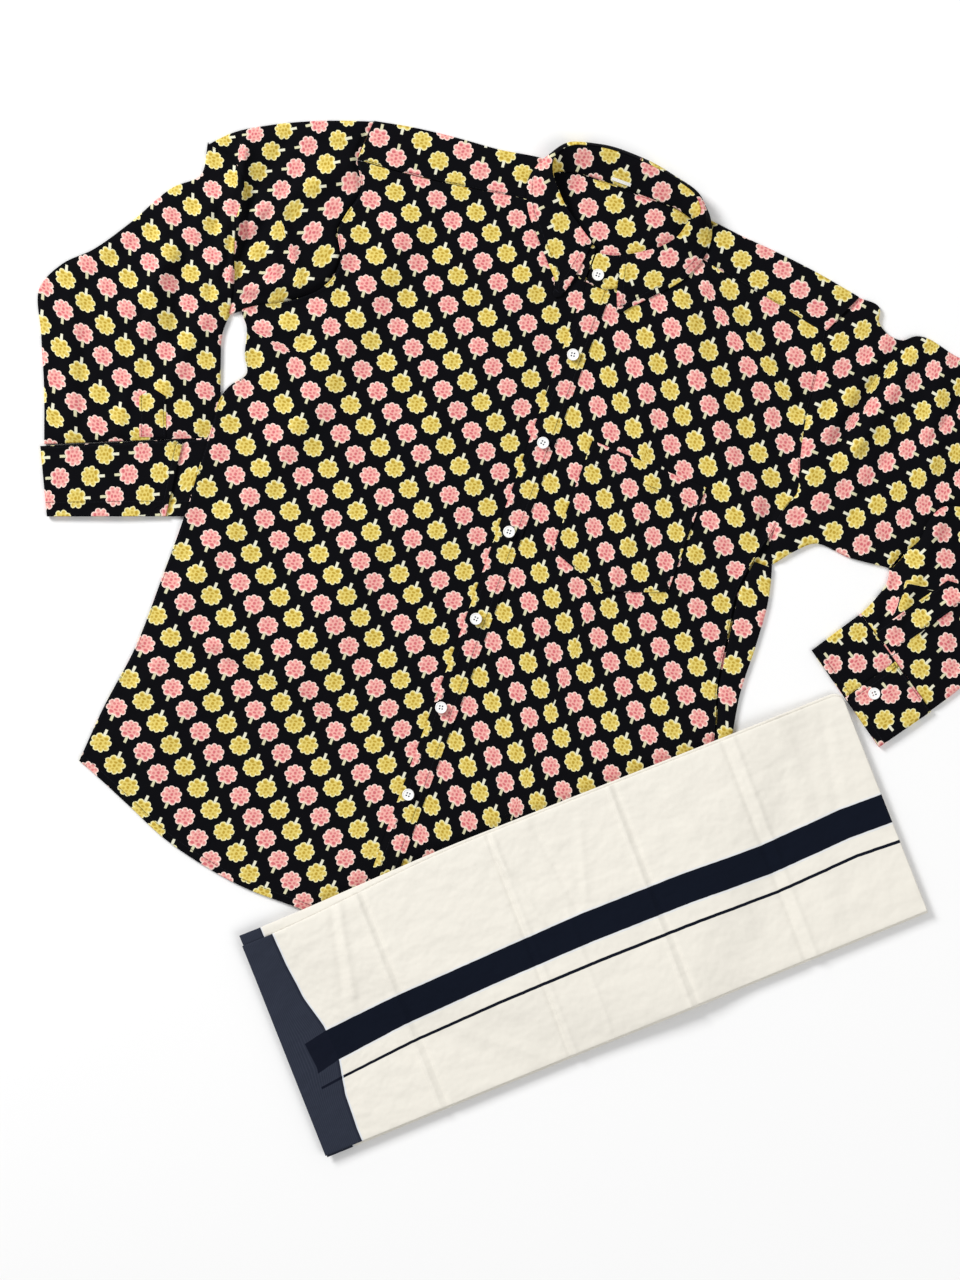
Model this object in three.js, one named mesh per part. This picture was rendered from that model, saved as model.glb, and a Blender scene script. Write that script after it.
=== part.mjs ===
// A printed cotton shirt laid flat, with a folded mundu across its lower corner.
// Millimetres, +Z up. X and Y lie in the surface they rest on. Left and right are as seen from above.
// Every shirt piece is given in the shirt's own plan: the top button is at 0, 0 and the hem is at -Y.
// The mundu has its own plan: one long edge along X, with the woven end band at X = 0.

import * as THREE from 'three';

// Driving dimensions
const cloth = 1.2; // wall of one layer
const seamGap = 0.3; // between pieces at a seam
const layer = cloth + seamGap; // rise from one layer to the next
const shirtTurn = THREE.MathUtils.degToRad(-20.07);
const munduTurn = THREE.MathUtils.degToRad(21.6);
const munduPlace = { x: -250.5, y: -822.4 }; // the mundu's corner from the top button
const placketEdge = -7; // free edge of the front band
const placketSeam = 17;
const placketWall = 1.8;
const buttonRadius = 5.6;
const buttonWall = 2;
const holeOffset = 1.25; // of each thread hole from the button's middle, in X and in Y
const holeRadius = 0.75;
const buttonHeights = [0, -78, -165, -254, -341, -430, -517];
const buttonDrift = [0, 3.6, 5.6, 4.3, 3.2, 1, 0];
const foldRadius = 1.5; // of cloth that turns back on itself
const sleeveGap = 1; // between a sleeve and the body at the armhole
const sleeveLoft = 2.2; // rise of a sleeve's upper layer at its middle
const frontLoft = 1.6;
const loopSize = { x: 20, y: 2.6, z: 1.2 };
const munduLength = 603;
const munduWidth = 226;
const munduCorner = 14;
const munduLayers = 4; // that show at the stack's edges
const coreHeight = 5.4;
const munduGap = 0.6; // air between its layers

const colours = { print: 0x1a1b22, white: 0xf2efe8, cream: 0xede6dc };

// Heights of each layer's middle above the surface
const backLevel = cloth / 2;
const lowerLevel = backLevel + layer; // the fronts below the yoke
const upperLevel = lowerLevel + layer; // the fronts on the inner yoke
const shirtUnderMundu = 5.2; // top of the shirt where the mundu lies on it

const smoothstep = THREE.MathUtils.smoothstep;
const lerp = THREE.MathUtils.lerp;

// Largest folds: a ridge, or a trough where height is negative, from one end to the other
const bodyFolds = [
  { x0: 92, y0: -22, x1: 205, y1: -160, width: 26, height: 3.2 },
  { x0: 215, y0: -150, x1: 232, y1: -210, width: 12, height: 2.4 },
  { x0: -244, y0: -144, x1: -296, y1: -156, width: 10, height: 3 },
  { x0: -232, y0: -60, x1: -225, y1: -150, width: 16, height: 2 },
  { x0: 98, y0: -285, x1: 100, y1: -420, width: 14, height: 1.6 },
  { x0: -190, y0: -40, x1: -215, y1: -230, width: 34, height: 2.4 },
  { x0: -120, y0: -330, x1: -150, y1: -560, width: 44, height: 2 },
];
const sleeveFolds = [
  { x0: -262, y0: 8, x1: -330, y1: -70, width: 16, height: 3 },
  { x0: -345, y0: -8, x1: -334, y1: -120, width: 12, height: 5 },
  { x0: -250, y0: -100, x1: -312, y1: -128, width: 11, height: 3.5 },
  { x0: -360, y0: -60, x1: -395, y1: -170, width: 14, height: 3 },
  { x0: -330, y0: -150, x1: -345, y1: -250, width: 13, height: 2.4 },
  { x0: -455, y0: -190, x1: -418, y1: -300, width: 12, height: 2.2 },
  { x0: 262, y0: 40, x1: 283, y1: -40, width: 9, height: -2.6 },
  { x0: 300, y0: 38, x1: 350, y1: -60, width: 15, height: 3.2 },
  { x0: 250, y0: -118, x1: 318, y1: -140, width: 14, height: 2.4 },
  { x0: 357, y0: -150, x1: 362, y1: -216, width: 7, height: -2.6 },
  { x0: 378, y0: -110, x1: 372, y1: -205, width: 10, height: 3.4 },
  { x0: 395, y0: -205, x1: 425, y1: -160, width: 9, height: 2.6 },
  { x0: 395, y0: -70, x1: 460, y1: -30, width: 16, height: 4 },
];

// Height added at a point of the plan by a table of folds
function raised(folds, x, y) {
  let sum = 0;
  for (const fold of folds) {
    const alongX = fold.x1 - fold.x0;
    const alongY = fold.y1 - fold.y0;
    const length = Math.hypot(alongX, alongY);
    const along = ((x - fold.x0) * alongX + (y - fold.y0) * alongY) / length;
    const aside = ((x - fold.x0) * alongY - (y - fold.y0) * alongX) / length;
    const past = Math.max(0, -along, along - length);
    const away = Math.hypot(aside, past) / fold.width;
    sum += fold.height * Math.exp(-away * away * 2);
  }
  return sum;
}

// A line through a table's points. It gives the point at a share of its length, or of its height.
function path(points, byHeight = false) {
  const reach = [0];
  for (let k = 1; k < points.length; k += 1) {
    const across = byHeight ? 0 : points[k].x - points[k - 1].x;
    reach.push(reach[k - 1] + Math.hypot(across, points[k].y - points[k - 1].y));
  }
  const whole = reach[reach.length - 1];
  const at = (share) => {
    let k = 1;
    while (k < reach.length - 1 && reach[k] < share * whole - 1e-9) k += 1;
    const part = (share * whole - reach[k - 1]) / (reach[k] - reach[k - 1]);
    return {
      x: lerp(points[k - 1].x, points[k].x, part),
      y: lerp(points[k - 1].y, points[k].y, part),
    };
  };
  return { at, shares: reach.map((length) => length / whole) };
}

// A panel between four edges: low and high run in s, near and far run in t
function panel({ low, high, near, far }) {
  return (s, t) => {
    const point = {};
    for (const axis of ['x', 'y']) {
      const rows = (1 - t) * low.at(s)[axis] + t * high.at(s)[axis];
      const columns = (1 - s) * near.at(t)[axis] + s * far.at(t)[axis];
      const start = (1 - t) * low.at(0)[axis] + t * high.at(0)[axis];
      const end = (1 - t) * low.at(1)[axis] + t * high.at(1)[axis];
      point[axis] = rows + columns - (1 - s) * start - s * end;
    }
    return point;
  };
}

function even(count) {
  return Array.from({ length: count + 1 }, (_, k) => k / count);
}

// A closed wall round a grid of middle points. A ring's last column joins its first.
function wall(rows, { thickness = cloth, ring = false, keep = () => true } = {}) {
  const columns = rows[0].length;
  const cells = ring ? columns : columns - 1;
  const wrap = (j) => (ring ? (j + columns) % columns : Math.min(Math.max(j, 0), columns - 1));
  const clamp = (i) => Math.min(Math.max(i, 0), rows.length - 1);
  const positions = [];
  const known = new Map();
  const vertex = (i, j, side) => {
    const key = `${i} ${wrap(j)} ${side}`;
    if (!known.has(key)) {
      const alongRows = rows[clamp(i + 1)][wrap(j)].clone().sub(rows[clamp(i - 1)][wrap(j)]);
      const across = rows[i][wrap(j + 1)].clone().sub(rows[i][wrap(j - 1)]);
      const normal = alongRows.cross(across).normalize();
      const point = rows[i][wrap(j)].clone().addScaledVector(normal, (side * thickness) / 2);
      known.set(key, positions.length / 3);
      positions.push(point.x, point.y, point.z);
    }
    return known.get(key);
  };
  const faces = [];
  const quad = (a, b, c, d) => faces.push(a, b, c, a, c, d);
  const kept = (i, j) => i >= 0 && i < rows.length - 1 && (ring || (j >= 0 && j < cells)) && keep(i, wrap(j));
  const rim = (from, to) => {
    quad(vertex(...from, 1), vertex(...from, -1), vertex(...to, -1), vertex(...to, 1));
  };
  for (let i = 0; i < rows.length - 1; i += 1) {
    for (let j = 0; j < cells; j += 1) {
      if (kept(i, j)) {
        const corners = [[i, j], [i + 1, j], [i + 1, j + 1], [i, j + 1]];
        quad(...corners.map((corner) => vertex(...corner, 1)));
        quad(...corners.map((corner) => vertex(...corner, -1)).reverse());
        if (!kept(i, j - 1)) rim(corners[0], corners[1]);
        if (!kept(i + 1, j)) rim(corners[1], corners[2]);
        if (!kept(i, j + 1)) rim(corners[2], corners[3]);
        if (!kept(i - 1, j)) rim(corners[3], corners[0]);
      }
    }
  }
  const geometry = new THREE.BufferGeometry();
  geometry.setAttribute('position', new THREE.Float32BufferAttribute(positions, 3));
  geometry.setIndex(faces);
  geometry.computeVertexNormals();
  return geometry;
}

function piece(group, name, geometry, colour = colours.print, roughness = 0.85) {
  const mesh = new THREE.Mesh(geometry, new THREE.MeshStandardMaterial({ color: colour, roughness }));
  mesh.name = name;
  group.add(mesh);
  return mesh;
}

function point3(place, z) {
  return new THREE.Vector3(place.x, place.y, z);
}

// Body edges, from the hem up
const leftSide = [
  { x: -300, y: -593 }, { x: -296, y: -541 }, { x: -287, y: -474 }, { x: -286, y: -404 },
  { x: -286, y: -338 }, { x: -290, y: -266 }, { x: -288, y: -215 }, { x: -277, y: -199 },
  { x: -284, y: -185 }, { x: -292, y: -158 }, { x: -301, y: -143 },
];
const leftArmhole = [
  { x: -301, y: -143 }, { x: -265, y: -123 }, { x: -236, y: -96 }, { x: -231, y: -70 },
  { x: -243, y: -42 }, { x: -241, y: -28 }, { x: -236, y: -1 }, { x: -249, y: 24 },
];
const rightSeam = [
  { x: 270, y: -593 }, { x: 264, y: -500 }, { x: 256, y: -420 }, { x: 250, y: -366 },
  { x: 237, y: -323 }, { x: 229, y: -270 }, { x: 224, y: -233 }, { x: 228, y: -200 },
];
const rightArmhole = [
  { x: 228, y: -200 }, { x: 235, y: -171 }, { x: 241, y: -140 }, { x: 246, y: -128 },
  { x: 237, y: -98 }, { x: 229, y: -61 }, { x: 225, y: -28 }, { x: 222, y: -4 }, { x: 219, y: 24 },
];
// Where the back rolls round to the front, level with each row of the right seam
const rightRoll = [
  { x: 285, y: -593 }, { x: 279, y: -500 }, { x: 272, y: -420 }, { x: 266, y: -366 },
  { x: 259, y: -323 }, { x: 257, y: -270 }, { x: 254, y: -233 }, { x: 246, y: -200 },
];
const hem = [
  { x: -300, y: -593 }, { x: -284, y: -599 }, { x: -243, y: -616 }, { x: -200, y: -634 },
  { x: -157, y: -645 }, { x: -119, y: -651 }, { x: -61, y: -652 }, { x: 14, y: -653 },
];
const rightHem = [
  { x: 17.3, y: -653 }, { x: 80, y: -652 }, { x: 140, y: -645 }, { x: 200, y: -628 },
  { x: 245, y: -607 }, { x: 270, y: -593 },
];
const backHem = [
  { x: -300, y: -593 }, { x: -243, y: -613 }, { x: -157, y: -641 }, { x: -61, y: -648 },
  { x: 60, y: -648 }, { x: 180, y: -632 }, { x: 250, y: -606 }, { x: 285, y: -593 },
];
// Yoke: where it folds at the shoulder, and where it meets the front
const yokeSections = [
  { lowX: -240.5, midX: -235.5, highX: -248.5, foldX: -246, foldY: 64, frontX: -248.5, frontY: 24 },
  { lowX: -205, midX: -203, highX: -207, foldX: -208, foldY: 71, frontX: -208, frontY: 27 },
  { lowX: -164, midX: -164, highX: -164, foldX: -164, foldY: 76, frontX: -164, frontY: 32 },
  { lowX: -126, midX: -126, highX: -126, foldX: -126, foldY: 79, frontX: -126, frontY: 38 },
  { lowX: -86, midX: -86, highX: -86, foldX: -88, foldY: 85, frontX: -84, frontY: 45 },
  { lowX: -45, midX: -45, highX: -45, foldX: -48, foldY: 85 },
  { lowX: 0, midX: 0, highX: 0, foldX: 0, foldY: 85 },
  { lowX: 45, midX: 45, highX: 45, foldX: 48, foldY: 85 },
  { lowX: 84, midX: 84, highX: 84, foldX: 86, foldY: 84, frontX: 84, frontY: 49 },
  { lowX: 112, midX: 112, highX: 112, foldX: 112, foldY: 81, frontX: 112, frontY: 43 },
  { lowX: 145, midX: 145, highX: 145, foldX: 148, foldY: 78, frontX: 145, frontY: 37 },
  { lowX: 185, midX: 184, highX: 183, foldX: 190, foldY: 73, frontX: 182, frontY: 31 },
  { lowX: 224.5, midX: 221.5, highX: 218.5, foldX: 236, foldY: 65, frontX: 218.5, frontY: 24 },
];
const yokeLevels = { low: -28, mid: -2, high: 24 }; // rows of the yoke's back, up from its seam
const leftNeck = [
  { x: -70, y: 42 }, { x: -50, y: 20 }, { x: -31, y: 7 }, { x: -8, y: -6 }, { x: 14, y: -6 },
];
const rightNeck = [{ x: 17.3, y: -6 }, { x: 36, y: 10 }, { x: 57, y: 32 }, { x: 70, y: 48 }];

// The mundu's slope in the shirt's plan, and where the shirt flattens towards it
const nearMundu = { slope: 0.759, from: 320, to: 440 };

// Height of a front's middle. It lofts a little between the placket, the yoke and its side edge.
function frontHeight(x, y) {
  const flatUnderMundu = smoothstep(nearMundu.slope * x - y, nearMundu.from, nearMundu.to);
  const edges = smoothstep(x, -296, -250) * (1 - smoothstep(x, 190, 236));
  const besidePlacket = smoothstep(Math.abs(x - (placketEdge + placketSeam) / 2), 10, 70);
  const loft = frontLoft * edges * besidePlacket * (1 - smoothstep(y, -30, 10));
  const soft = loft + raised(bodyFolds, x, y) * Math.min(1, edges + 0.5);
  return lerp(lowerLevel, upperLevel, smoothstep(y, -60, -25)) + soft * (1 - flatUnderMundu);
}

function frontPanel(panelEdges, rows, columns) {
  const place = panel(panelEdges);
  return rows.map((t) => columns.map((s) => place(s, t)));
}

const seamAt = (section) => ({ x: section.frontX, y: section.frontY - seamGap });
const fronted = yokeSections.filter((section) => section.frontX !== undefined);
const leftTop = [...fronted.filter((section) => section.frontX < 0).map(seamAt), ...leftNeck];
const rightTop = [...rightNeck, ...fronted.filter((section) => section.frontX > 0).map(seamAt)];

const leftFrontEdge = path([...leftSide, ...leftArmhole.slice(1, -1), leftTop[0]], true);
const leftFront = frontPanel({
  low: path(hem),
  high: path(leftTop),
  near: leftFrontEdge,
  far: path([hem[hem.length - 1], leftNeck[leftNeck.length - 1]]),
}, leftFrontEdge.shares, even(9));

const shoulderEnd = rightTop[rightTop.length - 1];
const rightFrontEdge = path([...rightSeam, ...rightArmhole.slice(1, -1), shoulderEnd], true);
const rightFront = frontPanel({
  low: path(rightHem),
  high: path(rightTop),
  near: path([rightHem[0], rightTop[0]]),
  far: rightFrontEdge,
}, rightFrontEdge.shares, even(8));

function addFronts(shirt) {
  const lift = (grid) => grid.map((row) => row.map((place) => point3(place, frontHeight(place.x, place.y))));
  const upward = (grid) => lift(grid).map((row) => row.reverse());
  return {
    left: piece(shirt, 'front_left', wall(upward(leftFront))),
    right: piece(shirt, 'front_right', wall(upward(rightFront))),
  };
}

// The back lies flat and rolls over at its right side as far as the side seam
function addBack(shirt) {
  const level = [...rightRoll, ...rightArmhole.slice(1, -2)];
  const stripTop = lowerLevel + cloth;
  const leftEdge = path([...leftSide, ...leftArmhole.slice(1, -2)], true);
  const rightEdge = path(level, true);
  const backTop = [leftArmhole[leftArmhole.length - 3], rightArmhole[rightArmhole.length - 3]];
  const place = panel({ low: path(backHem), high: path(backTop), near: leftEdge, far: rightEdge });
  const stations = [...new Set([...leftEdge.shares, ...rightEdge.shares].map((share) => share.toFixed(5)))];
  const shares = stations.map(Number).sort((a, b) => a - b);
  const seam = path(rightSeam, true);
  const rows = shares.map((t) => {
    const flat = even(6).map((s) => point3(place(s, t), backLevel));
    const roll = flat[flat.length - 1];
    const height = (roll.y - rightSeam[0].y) / (rightRoll[7].y - rightRoll[0].y);
    const end = seam.at(THREE.MathUtils.clamp(height, 0, 1));
    flat[flat.length - 1] = new THREE.Vector3(roll.x - foldRadius, roll.y, backLevel);
    flat.push(new THREE.Vector3(roll.x - cloth / 2, roll.y, lerp(backLevel, stripTop, 0.5)));
    flat.push(new THREE.Vector3(roll.x - foldRadius, roll.y, stripTop));
    flat.push(new THREE.Vector3(end.x + cloth, roll.y, lowerLevel + seamGap));
    return flat;
  });
  const lastStripRow = rows.findIndex((row) => row[0].y > rightRoll[7].y - 0.5);
  const turned = rows.map((row) => row.reverse());
  piece(shirt, 'back', wall(turned, { keep: (i, j) => j > 2 || i < lastStripRow }));
}

// The outer yoke runs from the back seam over each shoulder to the front
function addYoke(shirt) {
  const hiddenDepth = 30; // the row is left out where the neck opens
  const rows = yokeSections.map((section) => {
    const { lowX, midX, highX, foldX, foldY, frontX = foldX, frontY = foldY - hiddenDepth } = section;
    const foldBase = foldY - foldRadius;
    const front = { x: lerp(foldX, frontX, 0.5), y: lerp(foldBase, frontY, 0.5) };
    return [
      new THREE.Vector3(lowX, yokeLevels.low + seamGap, backLevel),
      new THREE.Vector3(midX, yokeLevels.mid, backLevel),
      new THREE.Vector3(highX, yokeLevels.high, backLevel),
      new THREE.Vector3(foldX, foldBase, backLevel),
      new THREE.Vector3(foldX, foldY - cloth / 2, lerp(backLevel, upperLevel, 0.5)),
      new THREE.Vector3(foldX, foldBase, upperLevel),
      point3(front, upperLevel + cloth / 2),
      new THREE.Vector3(frontX, frontY + seamGap, upperLevel),
    ];
  });
  const shoulder = (i) => yokeSections[i].frontX !== undefined && yokeSections[i + 1].frontX !== undefined;
  const turned = rows.map((row) => row.reverse());
  piece(shirt, 'yoke', wall(turned, { keep: (i, j) => j > 3 || shoulder(i) }));
  // The inner yoke, which shows inside the neck
  const inner = panel({
    low: path([{ x: -80, y: -18 }, { x: 80, y: -18 }]),
    high: path([{ x: -74, y: 76 }, { x: -52, y: 83 }, { x: 52, y: 83 }, { x: 74, y: 76 }]),
    near: path([{ x: -80, y: -18 }, { x: -74, y: 76 }]),
    far: path([{ x: 80, y: -18 }, { x: 74, y: 76 }]),
  });
  const grid = even(3).map((t) => even(6).map((s) => point3(inner(1 - s, t), lowerLevel)));
  piece(shirt, 'yoke_inside', wall(grid));
}

// The top of a piece below a point of the plan
function topOf(mesh, { x, y }) {
  const down = new THREE.Raycaster(new THREE.Vector3(x, y, 100), new THREE.Vector3(0, 0, -1));
  return down.intersectObject(mesh)[0].point.z;
}

function addPlacket(shirt, front) {
  const rise = 1.5 * seamGap + placketWall / 2;
  const rows = leftFrontEdge.shares.map((t) => {
    const y = lerp(-652.5, -11, t);
    const z = topOf(front, { x: 2, y }) + rise;
    return [placketSeam, (placketSeam + placketEdge) / 2, placketEdge].map((x) => new THREE.Vector3(x, y, z));
  });
  return piece(shirt, 'placket', wall(rows, { thickness: placketWall }));
}

function addPocket(shirt, front) {
  const corners = { left: 48, right: 163, top: -147, topRight: -152, side: -256, tip: -277, middle: 106 };
  const place = panel({
    low: path([{ x: corners.left, y: corners.side }, { x: corners.middle, y: corners.tip },
      { x: corners.right, y: corners.side }]),
    high: path([{ x: corners.left, y: corners.top }, { x: corners.right, y: corners.topRight }]),
    near: path([{ x: corners.left, y: corners.side }, { x: corners.left, y: corners.top }]),
    far: path([{ x: corners.right, y: corners.side }, { x: corners.right, y: corners.topRight }]),
  });
  const rise = 2 * seamGap + cloth / 2;
  const rows = even(6).map((t) => even(8).map((s) => {
    const spot = place(1 - s, t);
    return point3(spot, topOf(front, spot) + rise);
  }));
  piece(shirt, 'pocket', wall(rows));
}

// Collar sections from the left end round the back of the neck to the right end
const collarSections = [
  { seamX: -9.8, seamY: -10, rollX: -9.8, rollY: 19, rollZ: 5.4, edgeX: 0, edgeY: 0, edgeZ: 5.7 },
  { seamX: -13, seamY: -9, rollX: -12, rollY: 24, rollZ: 5.4, edgeX: -25, edgeY: -30, edgeZ: 5.7 },
  { seamX: -36, seamY: 3, rollX: -21, rollY: 30, rollZ: 5.6, edgeX: -37, edgeY: -17, edgeZ: 5.7 },
  { seamX: -56, seamY: 18, rollX: -34, rollY: 38.5, rollZ: 6.4, edgeX: -52, edgeY: -1, edgeZ: 5.7 },
  { seamX: -70, seamY: 37, rollX: -50, rollY: 49.5, rollZ: 8, edgeX: -68, edgeY: 17, edgeZ: 5.7 },
  { seamX: -77, seamY: 54, rollX: -62, rollY: 61.5, rollZ: 11, edgeX: -82, edgeY: 34, edgeZ: 5.9 },
  { seamX: -77, seamY: 68, rollX: -71, rollY: 72, rollZ: 14, edgeX: -90, edgeY: 52, edgeZ: 6.2 },
  { seamX: -69, seamY: 78, rollX: -76, rollY: 87, rollZ: 16, edgeX: -91, edgeY: 70, edgeZ: 6.2 },
  { seamX: -53, seamY: 83, rollX: -68, rollY: 101, rollZ: 17, edgeX: -79, edgeY: 93, edgeZ: 3.4 },
  { seamX: -28, seamY: 84.5, rollX: -42, rollY: 111, rollZ: 17, edgeX: -40, edgeY: 92, edgeZ: 1.6 },
  { seamX: 0, seamY: 85, rollX: -4, rollY: 113, rollZ: 17, edgeX: -2, edgeY: 92, edgeZ: 1.6 },
  { seamX: 28, seamY: 84.5, rollX: 34, rollY: 108, rollZ: 17, edgeX: 32, edgeY: 91, edgeZ: 1.6 },
  { seamX: 52, seamY: 83, rollX: 62, rollY: 98, rollZ: 17, edgeX: 76, edgeY: 92, edgeZ: 3.4 },
  { seamX: 67, seamY: 78, rollX: 70, rollY: 86, rollZ: 16, edgeX: 87, edgeY: 72, edgeZ: 6.2 },
  { seamX: 75, seamY: 66, rollX: 62, rollY: 74, rollZ: 14, edgeX: 88, edgeY: 52, edgeZ: 6.2 },
  { seamX: 76, seamY: 50, rollX: 58, rollY: 60, rollZ: 11, edgeX: 82, edgeY: 34, edgeZ: 5.9 },
  { seamX: 66, seamY: 33, rollX: 46, rollY: 45, rollZ: 8, edgeX: 71, edgeY: 16, edgeZ: 5.7 },
  { seamX: 50, seamY: 16, rollX: 32, rollY: 35, rollZ: 6.4, edgeX: 55, edgeY: -1, edgeZ: 5.7 },
  { seamX: 33, seamY: 2, rollX: 20, rollY: 28, rollZ: 5.6, edgeX: 40, edgeY: -17, edgeZ: 5.7 },
  { seamX: 14, seamY: -9, rollX: 10, rollY: 23, rollZ: 5.4, edgeX: 29, edgeY: -27, edgeZ: 5.7 },
  { seamX: -8.4, seamY: -10, rollX: -8.4, rollY: 19, rollZ: 5.4, edgeX: 0, edgeY: 0, edgeZ: 5.7 },
];

// The stand's seam lies on the fronts, and behind the neck on the inner yoke
const standSeam = { front: 5.1, behind: 3.7 };

function addCollar(shirt) {
  const stand = collarSections.map(({ seamX, seamY, rollX, rollY, rollZ }) => {
    const seamZ = lerp(standSeam.front, standSeam.behind, smoothstep(seamY, 66, 84));
    const seam = new THREE.Vector3(seamX, seamY, seamZ);
    return even(2).map((share) => seam.clone().lerp(new THREE.Vector3(rollX, rollY, rollZ), share));
  });
  const standPiece = piece(shirt, 'collar_stand', wall(stand));
  // The leaf turns over the stand. Behind the neck it tucks in under it, and in front it lies on it.
  // It stops short of the stand's two ends, which button over each other.
  const leaf = collarSections.slice(1, -1).map(({ rollX, rollY, rollZ, edgeX, edgeY, edgeZ }) => {
    const behind = smoothstep(rollY, 86, 104);
    const start = new THREE.Vector3(rollX, rollY, rollZ + layer);
    const edge = new THREE.Vector3(edgeX, edgeY, edgeZ);
    const outward = start.clone().lerp(edge, 0.2);
    outward.setY(rollY + 2 * behind).setZ(rollZ + lerp(layer, -1, behind));
    const bend = start.clone().lerp(edge, 0.6).setZ(lerp(rollZ, standSeam.front, 0.6) + layer);
    bend.lerp(new THREE.Vector3(lerp(rollX, edgeX, 0.5), rollY + layer, standSeam.front), behind);
    const line = new THREE.CatmullRomCurve3([start, outward, bend, edge], false, 'centripetal');
    return line.getPoints(5);
  });
  piece(shirt, 'collar_leaf', wall(leaf));
  const loop = new THREE.BoxGeometry(loopSize.x, loopSize.y, loopSize.z);
  const tab = piece(shirt, 'neck_loop', loop, colours.white);
  tab.position.set(-9.5, 88.4, 7.6);
  tab.rotation.x = THREE.MathUtils.degToRad(24);
  return standPiece;
}

// A flattened tube: the panel's lower layer, one edge, the upper layer and the other edge
function flatTube(edges, { along, across }, height) {
  const place = panel(edges);
  return along.map((t) => {
    const first = place(0, t);
    const last = place(1, t);
    const inset = foldRadius / Math.hypot(last.x - first.x, last.y - first.y);
    const spots = across.map((s) => place(lerp(inset, 1 - inset, s), t));
    const lower = spots.map((spot) => point3(spot, backLevel));
    const upper = spots.map((spot, k) => point3(spot, height(spot.x, spot.y, across[k])));
    const middle = (spot, top) => point3(spot, lerp(backLevel, top.z, 0.5));
    return [...lower, middle(last, upper[upper.length - 1]), ...upper.reverse(), middle(first, upper[0])];
  });
}

function sleeveHeight(x, y, share) {
  const edge = backLevel + 2 * foldRadius;
  const loft = sleeveLoft * Math.sin(Math.PI * share) ** 0.6;
  const folds = raised(sleeveFolds, x, y) * Math.sin(Math.PI * share) ** 0.35;
  return edge + Math.max(-0.6, loft + folds);
}

const shift = (points, dx, dy) => points.map(({ x, y }) => ({ x: x + dx, y: y + dy }));

function addLeftSleeve(shirt) {
  const armhole = shift([...leftArmhole, { x: -247, y: 63 }], -sleeveGap, 0).reverse();
  const elbow = [{ x: -384, y: -10 }, { x: -358, y: -15 }, { x: -344, y: -30 }, { x: -340, y: -60 },
    { x: -330, y: -95 }, { x: -319, y: -126 }, { x: -313, y: -154 }];
  const upper = {
    near: path([armhole[0], { x: -294, y: 46 }, { x: -335, y: 27 }, { x: -366, y: 8 }, elbow[0]]),
    far: path([armhole[8], elbow[6]]),
    low: path(armhole),
    high: path(elbow),
  };
  const rowsUpper = flatTube(upper, { along: even(8), across: upper.low.shares }, sleeveHeight);
  piece(shirt, 'sleeve_left_upper', wall(rowsUpper, { ring: true }));
  const start = [{ x: -385.5, y: -11 }, { x: -359, y: -16.5 }, { x: -345.5, y: -31 }, { x: -341.5, y: -60 },
    { x: -332, y: -96 }, { x: -324, y: -129 }, { x: -318, y: -158 }];
  const cuffSeam = [{ x: -432, y: -326 }, { x: -293.5, y: -269 }];
  const lower = {
    near: path([start[0], { x: -381, y: -40 }, { x: -400, y: -58 }, { x: -428, y: -105 },
      { x: -452, y: -140 }, { x: -474, y: -162 }, { x: -486, y: -188 }, { x: -470, y: -230 },
      { x: -450, y: -277 }, cuffSeam[0]]),
    far: path([start[6], { x: -312, y: -168 }, { x: -303, y: -195 }, { x: -296, y: -222 }, cuffSeam[1]]),
    low: path(start),
    high: path(cuffSeam),
  };
  const stations = { along: lower.near.shares, across: upper.low.shares };
  return piece(shirt, 'sleeve_left_lower', wall(flatTube(lower, stations, sleeveHeight), { ring: true }));
}

function addRightSleeve(shirt) {
  const shoulder = { x: 237.4, y: 64 };
  const armhole = shift([{ x: 248, y: -198 }, ...rightArmhole.slice(1), shoulder], sleeveGap, 0);
  const elbow = [{ x: 352, y: -163 }, { x: 360, y: -145 }, { x: 369, y: -128 }, { x: 371, y: -108 },
    { x: 378, y: -94 }, { x: 398, y: -86 }, { x: 440, y: -62 }, { x: 474, y: -2 }];
  const upper = {
    near: path([armhole[0], { x: 262, y: -178 }, { x: 274, y: -167 }, { x: 312, y: -167 }, elbow[0]]),
    far: path([armhole[9], { x: 258, y: 61 }, { x: 261, y: 50 }, { x: 290, y: 41 }, { x: 297, y: 47 },
      { x: 345, y: 43 }, { x: 400, y: 43 }, { x: 445, y: 28 }, elbow[7]]),
    low: path(armhole),
    high: path(elbow),
  };
  const rowsUpper = flatTube(upper, { along: upper.far.shares, across: upper.low.shares }, sleeveHeight);
  piece(shirt, 'sleeve_right_upper', wall(rowsUpper, { ring: true }));
  const start = shift(elbow, 0.5, -0.9);
  const cuffSeam = [{ x: 340.3, y: -213 }, { x: 432, y: -275.2 }];
  const lower = {
    near: path([start[0], { x: 353, y: -175 }, { x: 348, y: -195 }, cuffSeam[0]]),
    far: path([start[7], { x: 487, y: -50 }, { x: 489, y: -110 }, { x: 479, y: -180 }, { x: 450, y: -247 },
      cuffSeam[1]]),
    low: path(start),
    high: path(cuffSeam),
  };
  const stations = { along: even(10), across: upper.low.shares };
  return piece(shirt, 'sleeve_right_lower', wall(flatTube(lower, stations, sleeveHeight), { ring: true }));
}

const cuffFold = 0.016; // of a cuff's width, taken by each of its two folds

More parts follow.
